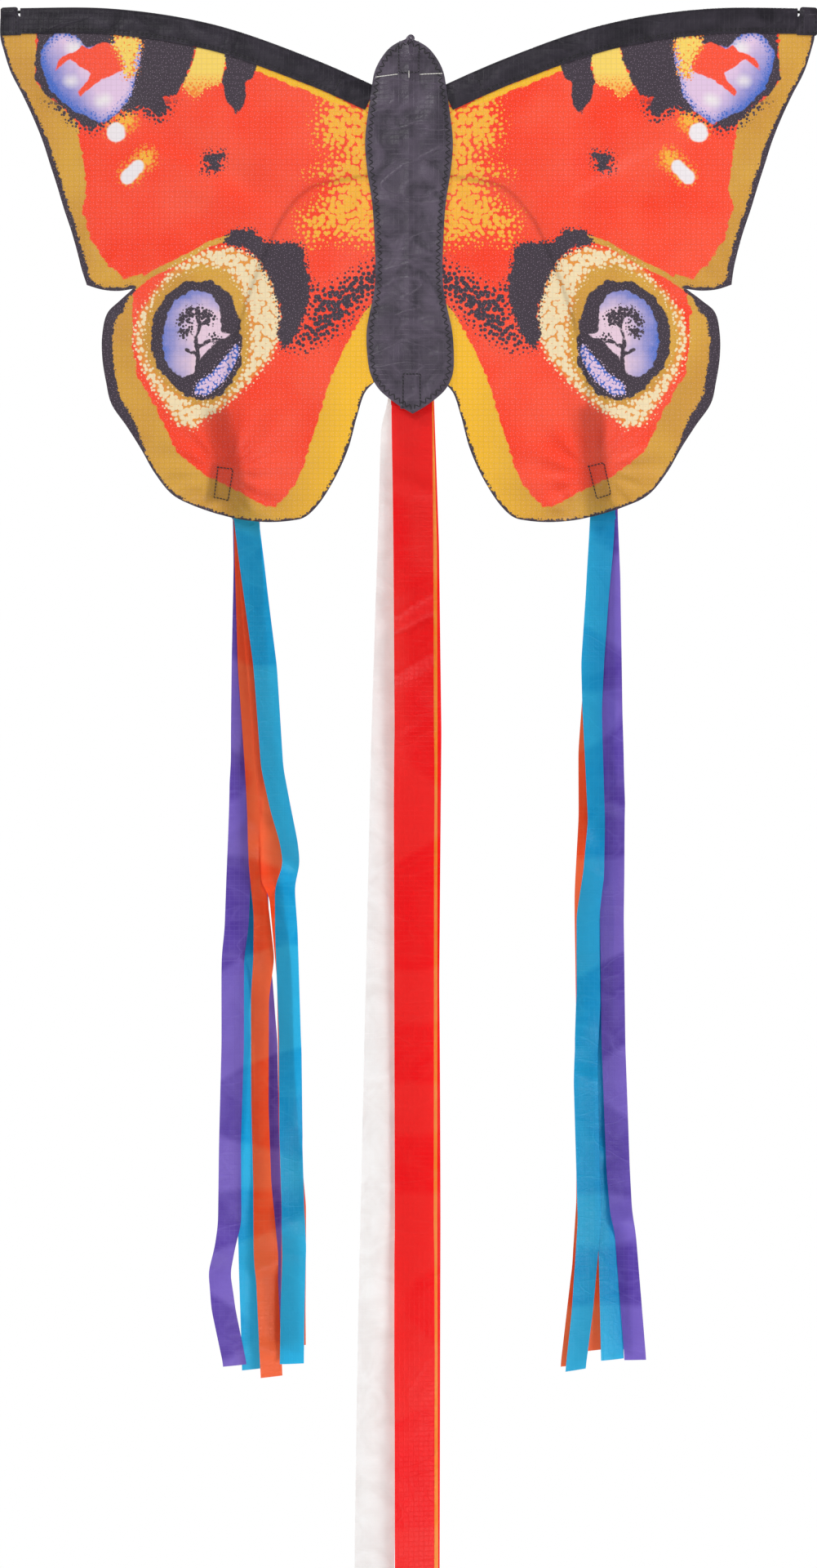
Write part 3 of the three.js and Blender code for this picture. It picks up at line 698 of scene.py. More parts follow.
# Screen-printed ripstop nylon: ragged-edged inks over red dye, with dotted fades like butterfly scales.
def printedNylon():
    material, tree = newMaterial("printed ripstop nylon")
    across, up, flat = clothPlaces(tree, mirror=True)
    cloth = clothPlaces(tree)[2]
    paint = {name: linearColour(value) for name, value in inks.items()}

    def stored(name):
        return addNode(tree, "ShaderNodeAttribute", attribute_name=name).outputs["Fac"]

    def noise(places, scale, detail, distortion=0.0):
        return addNode(tree, "ShaderNodeTexNoise", {
            "Vector": places, "Scale": scale, "Detail": detail, "Distortion": distortion,
        }).outputs["Fac"]

    def both(first, second, extra=0.0):
        return addNode(tree, "ShaderNodeMath", {0: first, 1: second, 2: extra}, operation="MULTIPLY_ADD").outputs[0]

    coarse = both(noise(flat, 1 / 9.0, 3.0), 1.0, -0.5)
    fine = both(noise(flat, 1 / 3.2, 3.0), 1.0, -0.5)

    # a stored distance with a torn edge
    def ragged(name, amount, grow=0.0):
        wander = both(fine, amount * 1.8, both(coarse, amount * 2.4))
        return both(both(stored(name), 1.0, wander), 1.0, grow)

    def inside(distance, soft=0.35):
        return fade(tree, distance, -soft, soft)

    # dots that grow from start to end of a distance, up to most of their spacing
    def dots(distance, spacing, start, end, most, seed, least=-0.08):
        shift = (seed, seed * 0.7, 0)
        shifted = addNode(tree, "ShaderNodeVectorMath", {0: flat, 1: shift}, operation="ADD").outputs["Vector"]
        cell = addNode(tree, "ShaderNodeTexVoronoi", {
            "Vector": shifted, "Scale": 1 / spacing, "Randomness": screen["scatter"],
        }, voronoi_dimensions="2D").outputs["Distance"]
        size = fade(tree, distance, start, end, least, most)
        return inside(both(cell, -1.0, size), screen["dotEdge"])

    def printed(under, *layers):
        return layered(tree, under, *[(mask, paint[ink]) for mask, ink in layers])

    # painted shade and light: large soft random patches, deeper red and paler ochre, that stand in for the cloth's
    # broad shading
    patchyShading = fade(tree, noise(cloth, 0.022, 2.0), 0.4, 0.65)
    paint["ochreField"] = printed(
        paint["ochre"], (both(patchyShading, 0.6), "ochreLight"), (stored("yellowInner"), "yellow")
    )
    outerHind = both(inside(both(ragged("hindField", 2.0), -1.0)), inside(both(up, -1.0, -136.5), 1.2))
    goldPatch = inside(ragged("goldPatch", 1.3))
    colour = printed(
        paint["red"],
        (patchyShading, "redDeep"),
        (outerHind, "ochreField"),
        (inside(ragged("ochreEdge", 2.3)), "ochreField"),
        (inside(ragged("hindBand", 0.9, -1.2)), "ochreField"),
        (dots(ragged("innerDust", 2.4), 3.1, -10.0, 12.0, 0.6, 3.0), "dust"),
        (inside(ragged("topGold", 1.6, 0.5)), "yellow"),
        (dots(ragged("darkDust", 2.0), 3.1, -8.0, 9.0, 0.56, 9.0), "black"),
        (dots(ragged("haloes", 1.5), 2.3, -4.0, 4.0, 0.7, 2.0), "orange"),
        (dots(ragged("haloes", 1.5), 2.3, 0.0, 6.5, 0.7, 2.0), "dust"),
        (dots(stored("goldPatch"), 2.2, -4.0, 1.5, 0.5, 50.0), "gold"),
        (goldPatch, "gold"),
        (both(goldPatch, fade(tree, up, 2.0, -12.0, most=0.5)), "orange"),
        (both(goldPatch, dots(up, 2.1, 4.0, -14.0, 0.6, 60.0)), "orange"),
        (inside(ragged("creamInner", 1.0, 2.5), 2.5), "ochreField"),
        (both(inside(ragged("creamRing", 1.2, -2.0), 2.0), 0.7), "ochreLight"),
        (dots(ragged("creamRing", 1.2), 2.8, -4.0, 5.0, 0.62, 15.0), "cream"),
    )
    for name, amount in (("foreTop", 2.2), ("wedge", 1.8), ("splat", 3.0), ("crescent", 3.2), ("rim", 1.7)):
        colour = printed(colour, (inside(ragged(name, amount)), "black"))
    lowDots = both(dots(stored("foreTop"), 2.5, -9.0, -1.0, 0.5, 21.0), fade(tree, up, -14.0, -20.0))
    colour = printed(colour, (lowDots, "black"))
    for name, start in (("splat", -7.0), ("crescent", -5.0), ("rim", -2.0)):
        colour = printed(colour, (dots(stored(name), 2.2, start, 0.5, 0.45, 30.0), "black"))

    outwards = both(up, -0.7, across)
    paint["eye"] = printed(
        paint["lilac"],
        (fade(tree, both(coarse, 14.0, outwards), 206.0, 232.0), "blue"),
        (fade(tree, stored("foreEye"), 5.0, 0.0, most=0.55), "blue"),
        (dots(stored("foreEye"), 2.2, 8.0, -1.0, 0.5, 70.0), "blue"),
        (inside(ragged("eyeGlow", 0.8), 3.0), "white"),
    )
    paint["sky"] = printed(
        paint["pink"],
        (fade(tree, both(coarse, 14.0, across), 137.0, 159.0), "blue"),
        (fade(tree, both(coarse, 14.0, up), -152.0, -140.0, most=0.75), "blue"),
    )
    foreDots = both(dots(stored("foreEye"), 1.9, -4.0, 5.0, 0.5, 40.0), fade(tree, across, 190.0, 180.0))
    colour = printed(
        colour,
        (inside(ragged("foreEye", 1.5)), "eye"),
        (foreDots, "lilac"),
        (inside(ragged("foreEyeRed", 1.0)), "red"),
        (dots(ragged("foreEyeGold", 1.2), 2.2, -5.0, 2.0, 0.75, 61.0), "orange"),
        (dots(ragged("foreEyeGold", 1.2), 2.0, -4.0, 3.0, 0.7, 44.0), "gold"),
        (inside(ragged("whiteSpots", 0.8), 0.6), "white"),
        (inside(ragged("hindEye", 2.2, 0.5)), "black"),
        (inside(ragged("hindEyeSky", 2.0, -0.8)), "sky"),
        (inside(ragged("branches", 1.1, 0.35), 0.25), "black"),
        (dots(ragged("leaves", 2.0), 2.1, -2.5, 2.2, 0.62, 12.0), "black"),
        (inside(ragged("hindEyeMoon", 0.8)), "blue"),
        (dots(stored("hindEyeMoon"), 1.9, -2.5, 3.0, 0.58, 27.0, least=0.05), "lilac"),
    )

    grid = ripstop(tree, across, up, screen["pitch"], screen["rib"])
    colour = addNode(tree, "ShaderNodeMix", {
        0: both(grid, screen["ribTint"]), 6: colour, 7: paint["grid"],
    }, data_type="RGBA", blend_type="MULTIPLY").outputs[2]
    height = both(grid, 0.5, both(noise(flat, 2.4, 2.0), 0.3))
    height = both(noise(cloth, 0.05, 4.0, 1.5), 5.0, height)
    nylonShader(tree, colour, height, screen["through"], screen["roughness"], screen["shine"])
    return material


printedSail = printedNylon()


def makeSails():
    points, faces = cutCloth(sailOutline(), sail["spacing"])
    values = printAttributes(points)
    for label, side in wings:
        x, z = sideWarp(points[:, 0], points[:, 1], side)
        skin = faces if side > 0 else [tuple(reversed(f)) for f in faces]
        piece = meshPiece(label + "Sail", np.stack([side * x, sailDepth(points, side), z], 1), skin, printedSail)
        for name, value in values.items():
            layer = piece.data.attributes.new(name, "FLOAT", "POINT")
            layer.data.foreach_set("value", value.astype(np.float32))
        place(piece, label + "_wing", "sail", label + "_wing_sail", bends=wingHinge(label, side))


makeSails()
print("sails ready")

# Body panel
panel = {
    "spacing": 2.2, "front": -1.4, "thick": 0.38, "lean": 2.4, "knotRadius": 1.1, "seam": (-214.8, 21.2),
    "knot": [(-1.6, -1.5, 20.6), (-0.6, -2.2, 22.8), (1.2, -2.4, 24.2), (2.6, -2.0, 23.4), (2.2, -1.5, 21.6)],
    "half": [
        (0, 23.2), (3, 22), (8, 19.8), (13, 16.2), (18.5, 9), (22, 1.5), (23.5, -6), (25.2, -18), (27.6, -36.5),
        (28, -46.5), (26.6, -62), (23.5, -82.5), (21.9, -106.5), (21.5, -128), (22.6, -141), (24.8, -151),
        (27.3, -164), (27.7, -177), (26.6, -190), (24, -197), (21, -201.5), (17.5, -205), (8.5, -211.8), (0, -216.8),
    ],
}


def panelLean(x, z):
    return x + panel["lean"] * (1 - ease(z, -215, -150))


def panelDepth(places, side):
    x, z = places[:, 0], places[:, 1]
    toEdge = nearPath(places, smoothPath(panel["half"], 4.0))
    spine = 0.5 * np.exp(-(x / 3.2) ** 2) * ease(z, -205, -190)
    soft = 1.3 * bumpy(places, 30, 5 + side) * ease(x, 0, 12) + 0.5 * bumpy(places, 10, 8 + side) * ease(x, 0, 8)
    soft += 1.2 * bumpy(places * np.array((0.35, 1)), 13, 14 + side) * ease(x, 0, 9)  # creases across the body
    inPockets = np.exp(-((z - 11) / 9) ** 2) + np.exp(-((z + 203) / 9) ** 2)
    soft += 1.1 * bumpy(places, 5, 31) * inPockets * np.exp(-(x / 8) ** 2)  # cloth gathered by the pockets
    pucker = 0.16 * np.sin(z * 1.1 + x) * np.exp(-((toEdge - 2.4) / 2.0) ** 2)
    return panel["front"] - spine - np.maximum(soft, -0.25) * ease(toEdge, 1, 9) - pucker


def makePanel():
    outline = smoothPath(panel["half"], 2.0)
    seam = np.stack([np.zeros(108), np.linspace(*panel["seam"], 108)], 1)
    points, faces = cutCloth(np.vstack([outline, seam]), panel["spacing"])
    for label, side in wings:
        front = panelDepth(points, side)
        shell, skin = sided(side, *closedLayer(points, faces, front, front + panel["thick"]))
        shell = [(float(panelLean(x, z)), y, z) for x, y, z in shell]
        piece = meshPiece(label + "BodyPanel", shell, skin, blackNylon)
        place(piece, "body_frame", "panel", "body_panel", bends=wingHinge(label, side))
    knot = tubeAlong(smoothPath(panel["knot"], 0.4), panel["knotRadius"], 10)
    place(meshPiece("HeadKnot", *knot, blackNylon), "body_frame", "panel")


makePanel()
print("body panel ready")

# Leading-edge sleeves
sleeve = {"start": 22.0, "end": 248.9, "step": 1.6, "cuffEnd": 44.0, "cuffLift": 0.35, "stitchRows": (11.6, 12.9)}


def sleeveSection():
    arc = [(3.0 + 2.55 * math.cos(t), 2.55 * math.sin(t)) for t in np.linspace(math.pi, 0, 13)]
    front = [
        (-0.72, -14.5), (-0.78, -13.4), (-0.72, -12.0), (-0.74, -10), (-0.78, -8), (-0.74, -6), (-0.6, -4.4),
        (-0.2, -2.6), (0.25, -1.2),
    ]
    back = [(5.2, -1.2), (4.2, -2.4), (2.9, -3.4), (1.8, -4.6), (1.25, -6.5), (1.15, -10), (1.15, -14.5)]
    inner = [(0.72, -14.5), (0.72, -5.0), (0.4, -3.7), (-0.3, -5.0), (-0.3, -14.5)]
    return front + arc + back + inner


def sleeveMesh(fromX, toX, lift, side, seed):
    step = sleeve["step"]
    path = evenly(leadingPath[(leadingPath[:, 0] >= fromX) & (leadingPath[:, 0] <= toX)], step)
    along = np.gradient(path, axis=0)
    along /= np.linalg.norm(along, axis=1)[:, None]
    section = sleeveSection()
    size = len(section)
    points, faces = [], []
    for i, (spot, direction) in enumerate(zip(path, along)):
        up = np.array((-direction[1], direction[0]))
        for y, n in section:
            outer = y < 0.3 or y > 1.0 or n > -3.6
            wave = 0.0
            if outer and y < 0.6 and n < -1:  # the front, puckered along its stitches
                wave = 0.14 * math.sin(i * step * 1.35 + seed) * math.exp(-((n + 12.2) / 2.2) ** 2)
                wave += 0.32 * softNoise(Vector((i * step / 13, n / 5, seed))) * min(1, (n + 15) / 4)
                wave -= lift
            elif outer:
                wave = 0.12 * softNoise(Vector((i * 0.1, n, seed + 3))) + lift * (0.6 if y > 3 else 0)
            grow = 1 + (0.07 * lift if n > 0 else 0)
            wander = 0.25 * softNoise(Vector((i * 0.07, 4.4, seed))) if n < -13 else 0
            flat = spot + up * (n * grow + wander)
            points.append((flat[0], y + wave, flat[1]))
    for i in range(len(path) - 1):
        for k in range(size):
            a, b = i * size + k, i * size + (k + 1) % size
            faces.append((a, a + size, b + size, b))
    faces.append(tuple(range(size)))
    faces.append(tuple(reversed(range((len(path) - 1) * size, len(path) * size))))
    return sided(side, points, faces)


def makeSleeves():
    cuffStart = sleeve["start"] - 0.4
    for label, side in wings:
        body = sleeveMesh(sleeve["start"], sleeve["end"], 0.0, side, 3 + side)
        cuff = sleeveMesh(cuffStart, sleeve["cuffEnd"], sleeve["cuffLift"], side, 9 + side)
        for name, shell in (("LeadingSleeve", body), ("SleeveCuff", cuff)):
            piece = meshPiece(label + name, *shell, sleeveNylon)
            place(piece, label + "_wing", "sleeve", label + "_leading_sleeve")


makeSleeves()
print("sleeves ready")

# Sewn pockets: a shell is (how far the rod swells it, depth of its front, depth of its back).
pockets = {
    "tip": {
        "outline": [
            (247.9, 25.2), (247.9, 36.4), (249.7, 37.6), (249.9, 42.2), (251, 43), (260, 42.6), (261, 41.5),
            (261, 25.6), (259.8, 24.8),
        ],
        "rod": [(249, 40.35), (259.4, 40.3)], "shell": (3.9, -0.75, 1.5),
    },
    "arch": {
        "middle": (120.8, -260.3), "half": (6.6, 11.4), "lean": -10, "rod": [(-1.8, 11), (1.2, -6)],
        "shell": (2.2, 0.75, 3.1),
    },
    "spineTop": {"low": (-6.5, 2.8), "high": (6.5, 21.4), "shell": (2.8, 0.5, 2.8)},
    "spineFoot": {"low": (-5.6, -213.4), "high": (5.6, -191.5), "shell": (2.8, 0.5, 2.8)},
}


# Two layers sewn together at the edge and swollen round the spar between them.
def pocketShell(outline, rod, swell, front, back, seed):
    edge = evenly(np.vstack([outline, outline[:1]]).astype(float), 1.0)[:-1]
    points, faces = cutCloth(edge, 0.9)
    toEdge = np.maximum(insideBy(points, edge), 0)
    toRod = nearPath(points, rod)
    rise = ease(toEdge, 0.2, 2.6) * swell * np.exp(-(toRod / 2.6) ** 4)
    crease = 0.12 * bumpy(points, 3.4, seed) * ease(toEdge, 0.4, 2)
    return closedLayer(points, faces, front - 0.15 * rise + crease, back + rise + crease)


def makePockets():
    tip, arch = pockets["tip"], pockets["arch"]
    turn = math.radians(arch["lean"])
    across, along = np.array((math.cos(turn), -math.sin(turn))), np.array((math.sin(turn), math.cos(turn)))
    wide, tall = arch["half"]
    corners = [(-wide, -tall), (wide, -tall), (wide, tall), (-wide, tall)]
    archOutline = np.array([arch["middle"] + x * across + z * along for x, z in corners])
    archRod = [np.array(arch["middle"]) + spot for spot in arch["rod"]]
    for label, side in wings:
        shell = sided(side, *pocketShell(np.array(tip["outline"]), tip["rod"], *tip["shell"], 2 + side))
        place(meshPiece(label + "TipPocket", *shell, sleeveNylon), label + "_wing", "sleeve", label + "_tip_pocket")
        shell = sided(side, *pocketShell(archOutline, archRod, *arch["shell"], 6 + side))
        place(meshPiece(label + "ArchPocket", *shell, blackNylon), label + "_wing", "panel", label + "_arch_pocket")

    for name, node, seed in (("spineTop", "spine_pocket_top", 12), ("spineFoot", "spine_pocket_bottom", 14)):
        (x0, z0), (x1, z1) = pockets[name]["low"], pockets[name]["high"]
        outline = np.array([(x0, z0), (x1, z0), (x1, z1), (x0, z1)])
        shell = pocketShell(outline, [(0, z0 + 2), (0, z1 - 2)], *pockets[name]["shell"], seed)
        place(meshPiece(name + "Pocket", *shell, blackNylon), "body_frame", "panel", node)


makePockets()
print("pockets ready")

# Spars and connectors
fittings = {
    "armRadius": 1.85, "stub": 9.0, "archSpar": (12, 122.2), "sides": 16,
    "nose": {"hubZ": -19.2, "slope": 0.435, "end": 44, "path": leadingPath},
    "arch": {"hubZ": -61.0, "slope": -0.03, "end": 26, "path": archPath},
}


def makeSpars():
    start, plane = fittings["stub"], spars["plane"]
    inside, tip = fittings["archSpar"]
    rod = archPath[(archPath[:, 0] > inside) & (archPath[:, 0] < tip)]
    archSpar = tubeAlong([(x, plane, z) for x, z in rod[::3]], spars["radius"], fittings["sides"])
    for label, side in wings:
        piece = meshPiece(label + "ArchSpar", *sided(side, *archSpar), glassFibre)
        place(piece, label + "_wing", "spar", label + "_arch_rod")
        for name in ("nose", "arch"):
            arm = fittings[name]
            path = arm["path"]
            inner = [(x, arm["hubZ"] + x * arm["slope"]) for x in (start, start + 2)]
            outer = [tuple(p) for p in path[(path[:, 0] > inside) & (path[:, 0] < arm["end"])]]
            route = smoothPath([(x, plane, z) for x, z in inner + outer[::6] + outer[-1:]], 1.2)
            tube = sided(side, *tubeAlong(route, fittings["armRadius"], fittings["sides"]))
            piece = meshPiece(label + name.title() + "Tube", *tube, vinyl)
            place(piece, label + "_wing", "vinyl", f"{label}_{name}_arm", bends=wingHinge(label, side, 9.2, 13))


makeSpars()
print("spars ready")

# Tails
# A ribbon is (name, material, where it ends, keys, creases), from front to back. A key is (height, middle, width that
# shows, which edge is nearer), and a crease is (height, depth, reach, slant).
tails = {
    "left": {
        "width": 16, "front": 5.6, "top": -277, "end": -826, "above": "left_wing",
        "band": [(-119.5, -212), (-108, -270.5), (-107.7, -271.5), (-105.3, -283.5)], "hinge": -271, "sewn": -284.5,
        "ribbons": [
            ("blue_a", blueNylon, -824, [
                (-277, -105, 15.6, 0), (-325, -99, 15.4, 1), (-378, -92, 14.6, 1), (-443, -87.5, 13.6, 1),
                (-470, -82, 12.5, 1), (-490, -77, 10.5, 1), (-504, -75, 9.6, 1), (-519, -79.5, 12, -1),
                (-547, -78.5, 14.4, -1), (-620, -76, 13.8, -1), (-683, -75.5, 14, 1), (-732, -74, 14, 1),
                (-753, -73.5, 15, -1), (-790, -74.5, 15.4, -1), (-826, -75, 15.4, -1),
            ], [(-504, 2.1, 14, 2.5), (-733, 1.6, 12, -2.0), (-752, -1.8, 10, 2.5)]),
            ("orange_b", orangeNylon, -813, [
                (-277, -104.5, 15.6, 0), (-370, -97, 15, 1), (-450, -90, 14.5, 1), (-474, -87.5, 15.6, 1),
                (-516, -87, 15.6, 1), (-524, -84, 11, -1), (-578, -79.5, 9.5, -1), (-620, -78.6, 10, -1),
                (-672, -77.2, 12, -1), (-724, -73.8, 15, 1), (-790, -74.2, 15.4, 1), (-813, -74, 15.4, 1),
            ], [(-474, -1.6, 9, 2.5), (-519, 2.6, 7, -2.0)]),
            ("orange_a", orangeNylon, -833, [
                (-277, -104.5, 15.6, 0), (-378, -102, 15, -1), (-443, -98.4, 13, -1), (-474, -99, 9, -1),
                (-505, -98, 8.5, 1), (-537, -94.5, 9, 1), (-565, -93, 12.5, 1), (-590, -95.5, 11, -1),
                (-660, -95.5, 10.5, -1), (-709, -94, 11, -1), (-757, -91.5, 15, 1), (-770, -91, 13, 1),
                (-834, -88, 13, 1),
            ], [(-490, 2.1, 12, 2.5), (-762, 2.0, 8, -2.0), (-816, 1.6, 7, 2.5)]),
            ("purple_a", purpleNylon, -826, [
                (-277, -105, 15.6, 0), (-312, -104.5, 15, 1), (-370, -106, 14.5, 1), (-438, -107, 14, 1),
                (-453, -107.5, 15, -1), (-505, -109, 15.4, -1), (-545, -110.5, 14.6, -1), (-565, -113, 13.5, 1),
                (-620, -113, 13.4, 1), (-683, -114.8, 13, 1), (-735, -115, 14, 1), (-750, -118, 12.5, -1),
                (-766, -121.5, 13.5, -1), (-790, -119, 14.4, 1), (-826, -111.5, 14, 1),
            ], [(-453, 2.0, 12, 2.5), (-565, -1.8, 10, -2.0), (-766, 2.9, 12, 2.5)]),
            ("blue_b", blueNylon, -829, [
                (-277, -104.5, 15.6, 0), (-411, -103, 15, 1), (-479, -101, 14, 1), (-531, -101, 10, 1),
                (-590, -103.4, 6.5, -1), (-650, -104, 9.5, -1), (-735, -102.5, 14, 1), (-830, -100, 13.5, 1),
            ], [(-600, 1.6, 14, 2.5)]),
            ("purple_b", purpleNylon, -812, [
                (-277, -104, 15.6, 0), (-432, -100, 15, -1), (-526, -98, 14.4, -1), (-578, -95, 14, -1),
                (-620, -91.5, 13, 1), (-672, -90.6, 13.4, 1), (-719, -88.5, 13.6, 1), (-766, -86, 14, 1),
                (-813, -81.5, 14, 1),
            ], [(-600, 1.8, 10, 2.5)]),
        ],
    },
    "right": {
        "width": 16, "front": 5.6, "top": -277, "end": -828, "above": "right_wing",
        "band": [(118, -210), (122.2, -270.5), (122.4, -271.5), (124.6, -283.5)], "hinge": -271, "sewn": -284.5,
        "ribbons": [
            ("blue_a", blueNylon, -828, [
                (-277, 124.2, 15.2, 0), (-300, 123, 15, 1), (-340, 120, 14.8, 1), (-376, 117.5, 14.6, 1),
                (-406, 117.2, 12, 1), (-440, 118.5, 11.2, 1), (-477, 120, 10.6, 1), (-511, 118, 12.4, -1),
                (-537, 114.5, 14, -1), (-590, 114.8, 14.6, -1), (-620, 113.6, 14.6, 1), (-641, 113, 15.4, 1),
                (-732, 115.5, 15, 1), (-790, 111, 13.5, 1), (-828, 106.5, 12.5, 1),
            ], [(-511, 2.3, 12, 2.5), (-560, -1.3, 12, -2.0), (-641, 1.6, 8, 2.5)]),
            ("purple_a", purpleNylon, -822, [
                (-277, 125.5, 15.2, 0), (-323, 127.6, 15, -1), (-411, 129, 14.8, -1), (-438, 130, 14.6, -1),
                (-464, 131, 14.6, 1), (-540, 130, 14.6, 1), (-620, 131, 14.6, 1), (-700, 134, 14.4, 1),
                (-729, 136, 13.5, 1), (-740, 138.5, 12.5, -1), (-821, 145, 12.8, -1),
            ], [(-464, 1.6, 10, 2.5), (-733, 3.1, 10, -2.0)]),
            ("blue_b", blueNylon, -822, [
                (-277, 125, 15.4, 0), (-421, 125.5, 15, -1), (-578, 123.5, 15, -1), (-672, 124.6, 14, 1),
                (-751, 128.5, 13.4, 1), (-824, 130.5, 14, 1),
            ], [(-690, 1.6, 12, 2.5)]),
            ("orange_a", orangeNylon, -826, [
                (-277, 125, 15.4, 0), (-349, 122.6, 15, 1), (-432, 116.4, 14.4, 1), (-474, 116.6, 14.4, 1),
                (-526, 114, 14.6, -1), (-600, 115, 14.6, -1), (-720, 115, 14.6, 1), (-761, 112, 14, 1),
                (-826, 104.5, 14, 1),
            ], [(-530, 1.8, 12, 2.5), (-760, 1.7, 9, -2.0)]),
            ("orange_b", orangeNylon, -817, [
                (-277, 126, 15.4, 0), (-370, 125.5, 15, 1), (-552, 122.5, 15, -1), (-709, 120, 14.6, -1),
                (-817, 117.5, 14, 1),
            ], [(-560, 1.6, 12, 2.5)]),
            ("purple_b", purpleNylon, -816, [
                (-277, 126, 15.4, 0), (-411, 129, 15, 1), (-552, 129.5, 14.6, 1), (-683, 131.5, 14.6, 1),
                (-787, 136, 14, -1), (-817, 137.5, 14, -1),
            ], [(-640, 1.6, 12, 2.5)]),
        ],
    },
    "centre": {
        "width": 26, "front": 5.8, "top": -206, "end": -1208, "above": "body_frame",
        "band": [(1, -193), (1.3, -203.5), (1.4, -204.5), (1.5, -210.5)], "hinge": -204, "sewn": -211.5,
        "ribbons": [
            ("red_a", redNylon, -1209, [
                (-206, 2, 25.6, 0), (-213, 1.8, 25.6, 1), (-300, 2.8, 25.4, 1), (-420, 3.4, 25, 1),
                (-500, 3.2, 25.6, -1), (-735, 3.4, 24.6, -1), (-860, 3.6, 25.4, 1), (-955, 3.6, 25, 1),
                (-1211, 3.5, 25.4, 1),
            ], [
                (-262, 1.4, 9, 5), (-338, 2.6, 11, -8), (-352, -2.0, 8, -7), (-376, 2.2, 9, -8), (-640, 1.2, 24, 3),
                (-800, -1.2, 20, 4),
            ]),
            ("yellow", goldNylon, -1206, [
                (-206, 2.4, 25.6, 0), (-300, 5, 25.4, 1), (-420, 5.4, 25.4, 1), (-735, 5.2, 25.4, 1),
                (-955, 5.8, 25.4, 1), (-1208, 5, 25.4, 1),
            ], [(-560, 1.3, 24, 2.5)]),
            ("red_b", redNylon, -1208, [
                (-206, 3, 25.6, 0), (-300, 6.4, 25.4, -1), (-420, 8, 25, -1), (-580, 6.6, 25.2, -1),
                (-735, 7.4, 25.2, 1), (-955, 6.8, 25.4, 1), (-1210, 7, 25.4, 1),
            ], [(-480, 1.3, 24, 2.5)]),
            ("white", whiteNylon, -1203, [
                (-206, 0, 25.6, 0), (-225, -5, 25.4, 1), (-420, -11.5, 25, 1), (-735, -18.6, 25, 1),
                (-955, -22.2, 25.4, -1), (-1205, -26.5, 25.4, -1),
            ], [(-640, 1.8, 28, 2.5)]),
        ],
    },
}
ribbonCut = {
    "row": 3.0, "columns": 9, "layer": 0.6, "thick": 0.42, "clear": 0.35, "curl": 0.5, "crease": 1.5, "crinkle": 0.4,
    "splay": 0.0022, "frontLean": 2.2,
}


# A column of a ribbon's keys at every row, smoothed.
def keyed(keys, column, at, blur):
    values = np.interp(at, [-k[0] for k in keys], [k[column] for k in keys])
    reach = len(blur) // 2
    return np.convolve(np.pad(values, reach, mode="edge"), blur, "valid")


# How far in front of its middle line a ribbon is, at each row and each place across it.
def ribbonProfile(tail, order, seed, rows, turn, visible, settle, creases):
    across = np.linspace(-1, 1, ribbonCut["columns"])
    outermost = order in (0, len(tail["ribbons"]) - 1)
    lean = np.sqrt(np.maximum(tail["width"] ** 2 - visible ** 2, 0)) / 2 * turn
    tilt = lean * settle * (0.9 if outermost else 0.62)
    profile = tilt[:, None] * across - ribbonCut["curl"] * settle[:, None] * (1 - across ** 2)
    for z, lift, span, slant in creases:
        off = np.abs(rows[:, None] - z + slant * across) / span
        profile = profile - ribbonCut["crease"] * lift * np.maximum(0, 1 - off)
    crinkle = np.array([[
        softNoise(Vector((s * 0.9 + seed, z / 23, seed))) + 0.5 * softNoise(Vector((s * 1.6, z / 9, seed + 5)))
        for s in across
    ] for z in rows])
    return tilt, profile + ribbonCut["crinkle"] * crinkle * settle[:, None]


def bell(count):
    weights = np.hanning(count)[1:-1]
    return weights / weights.sum()


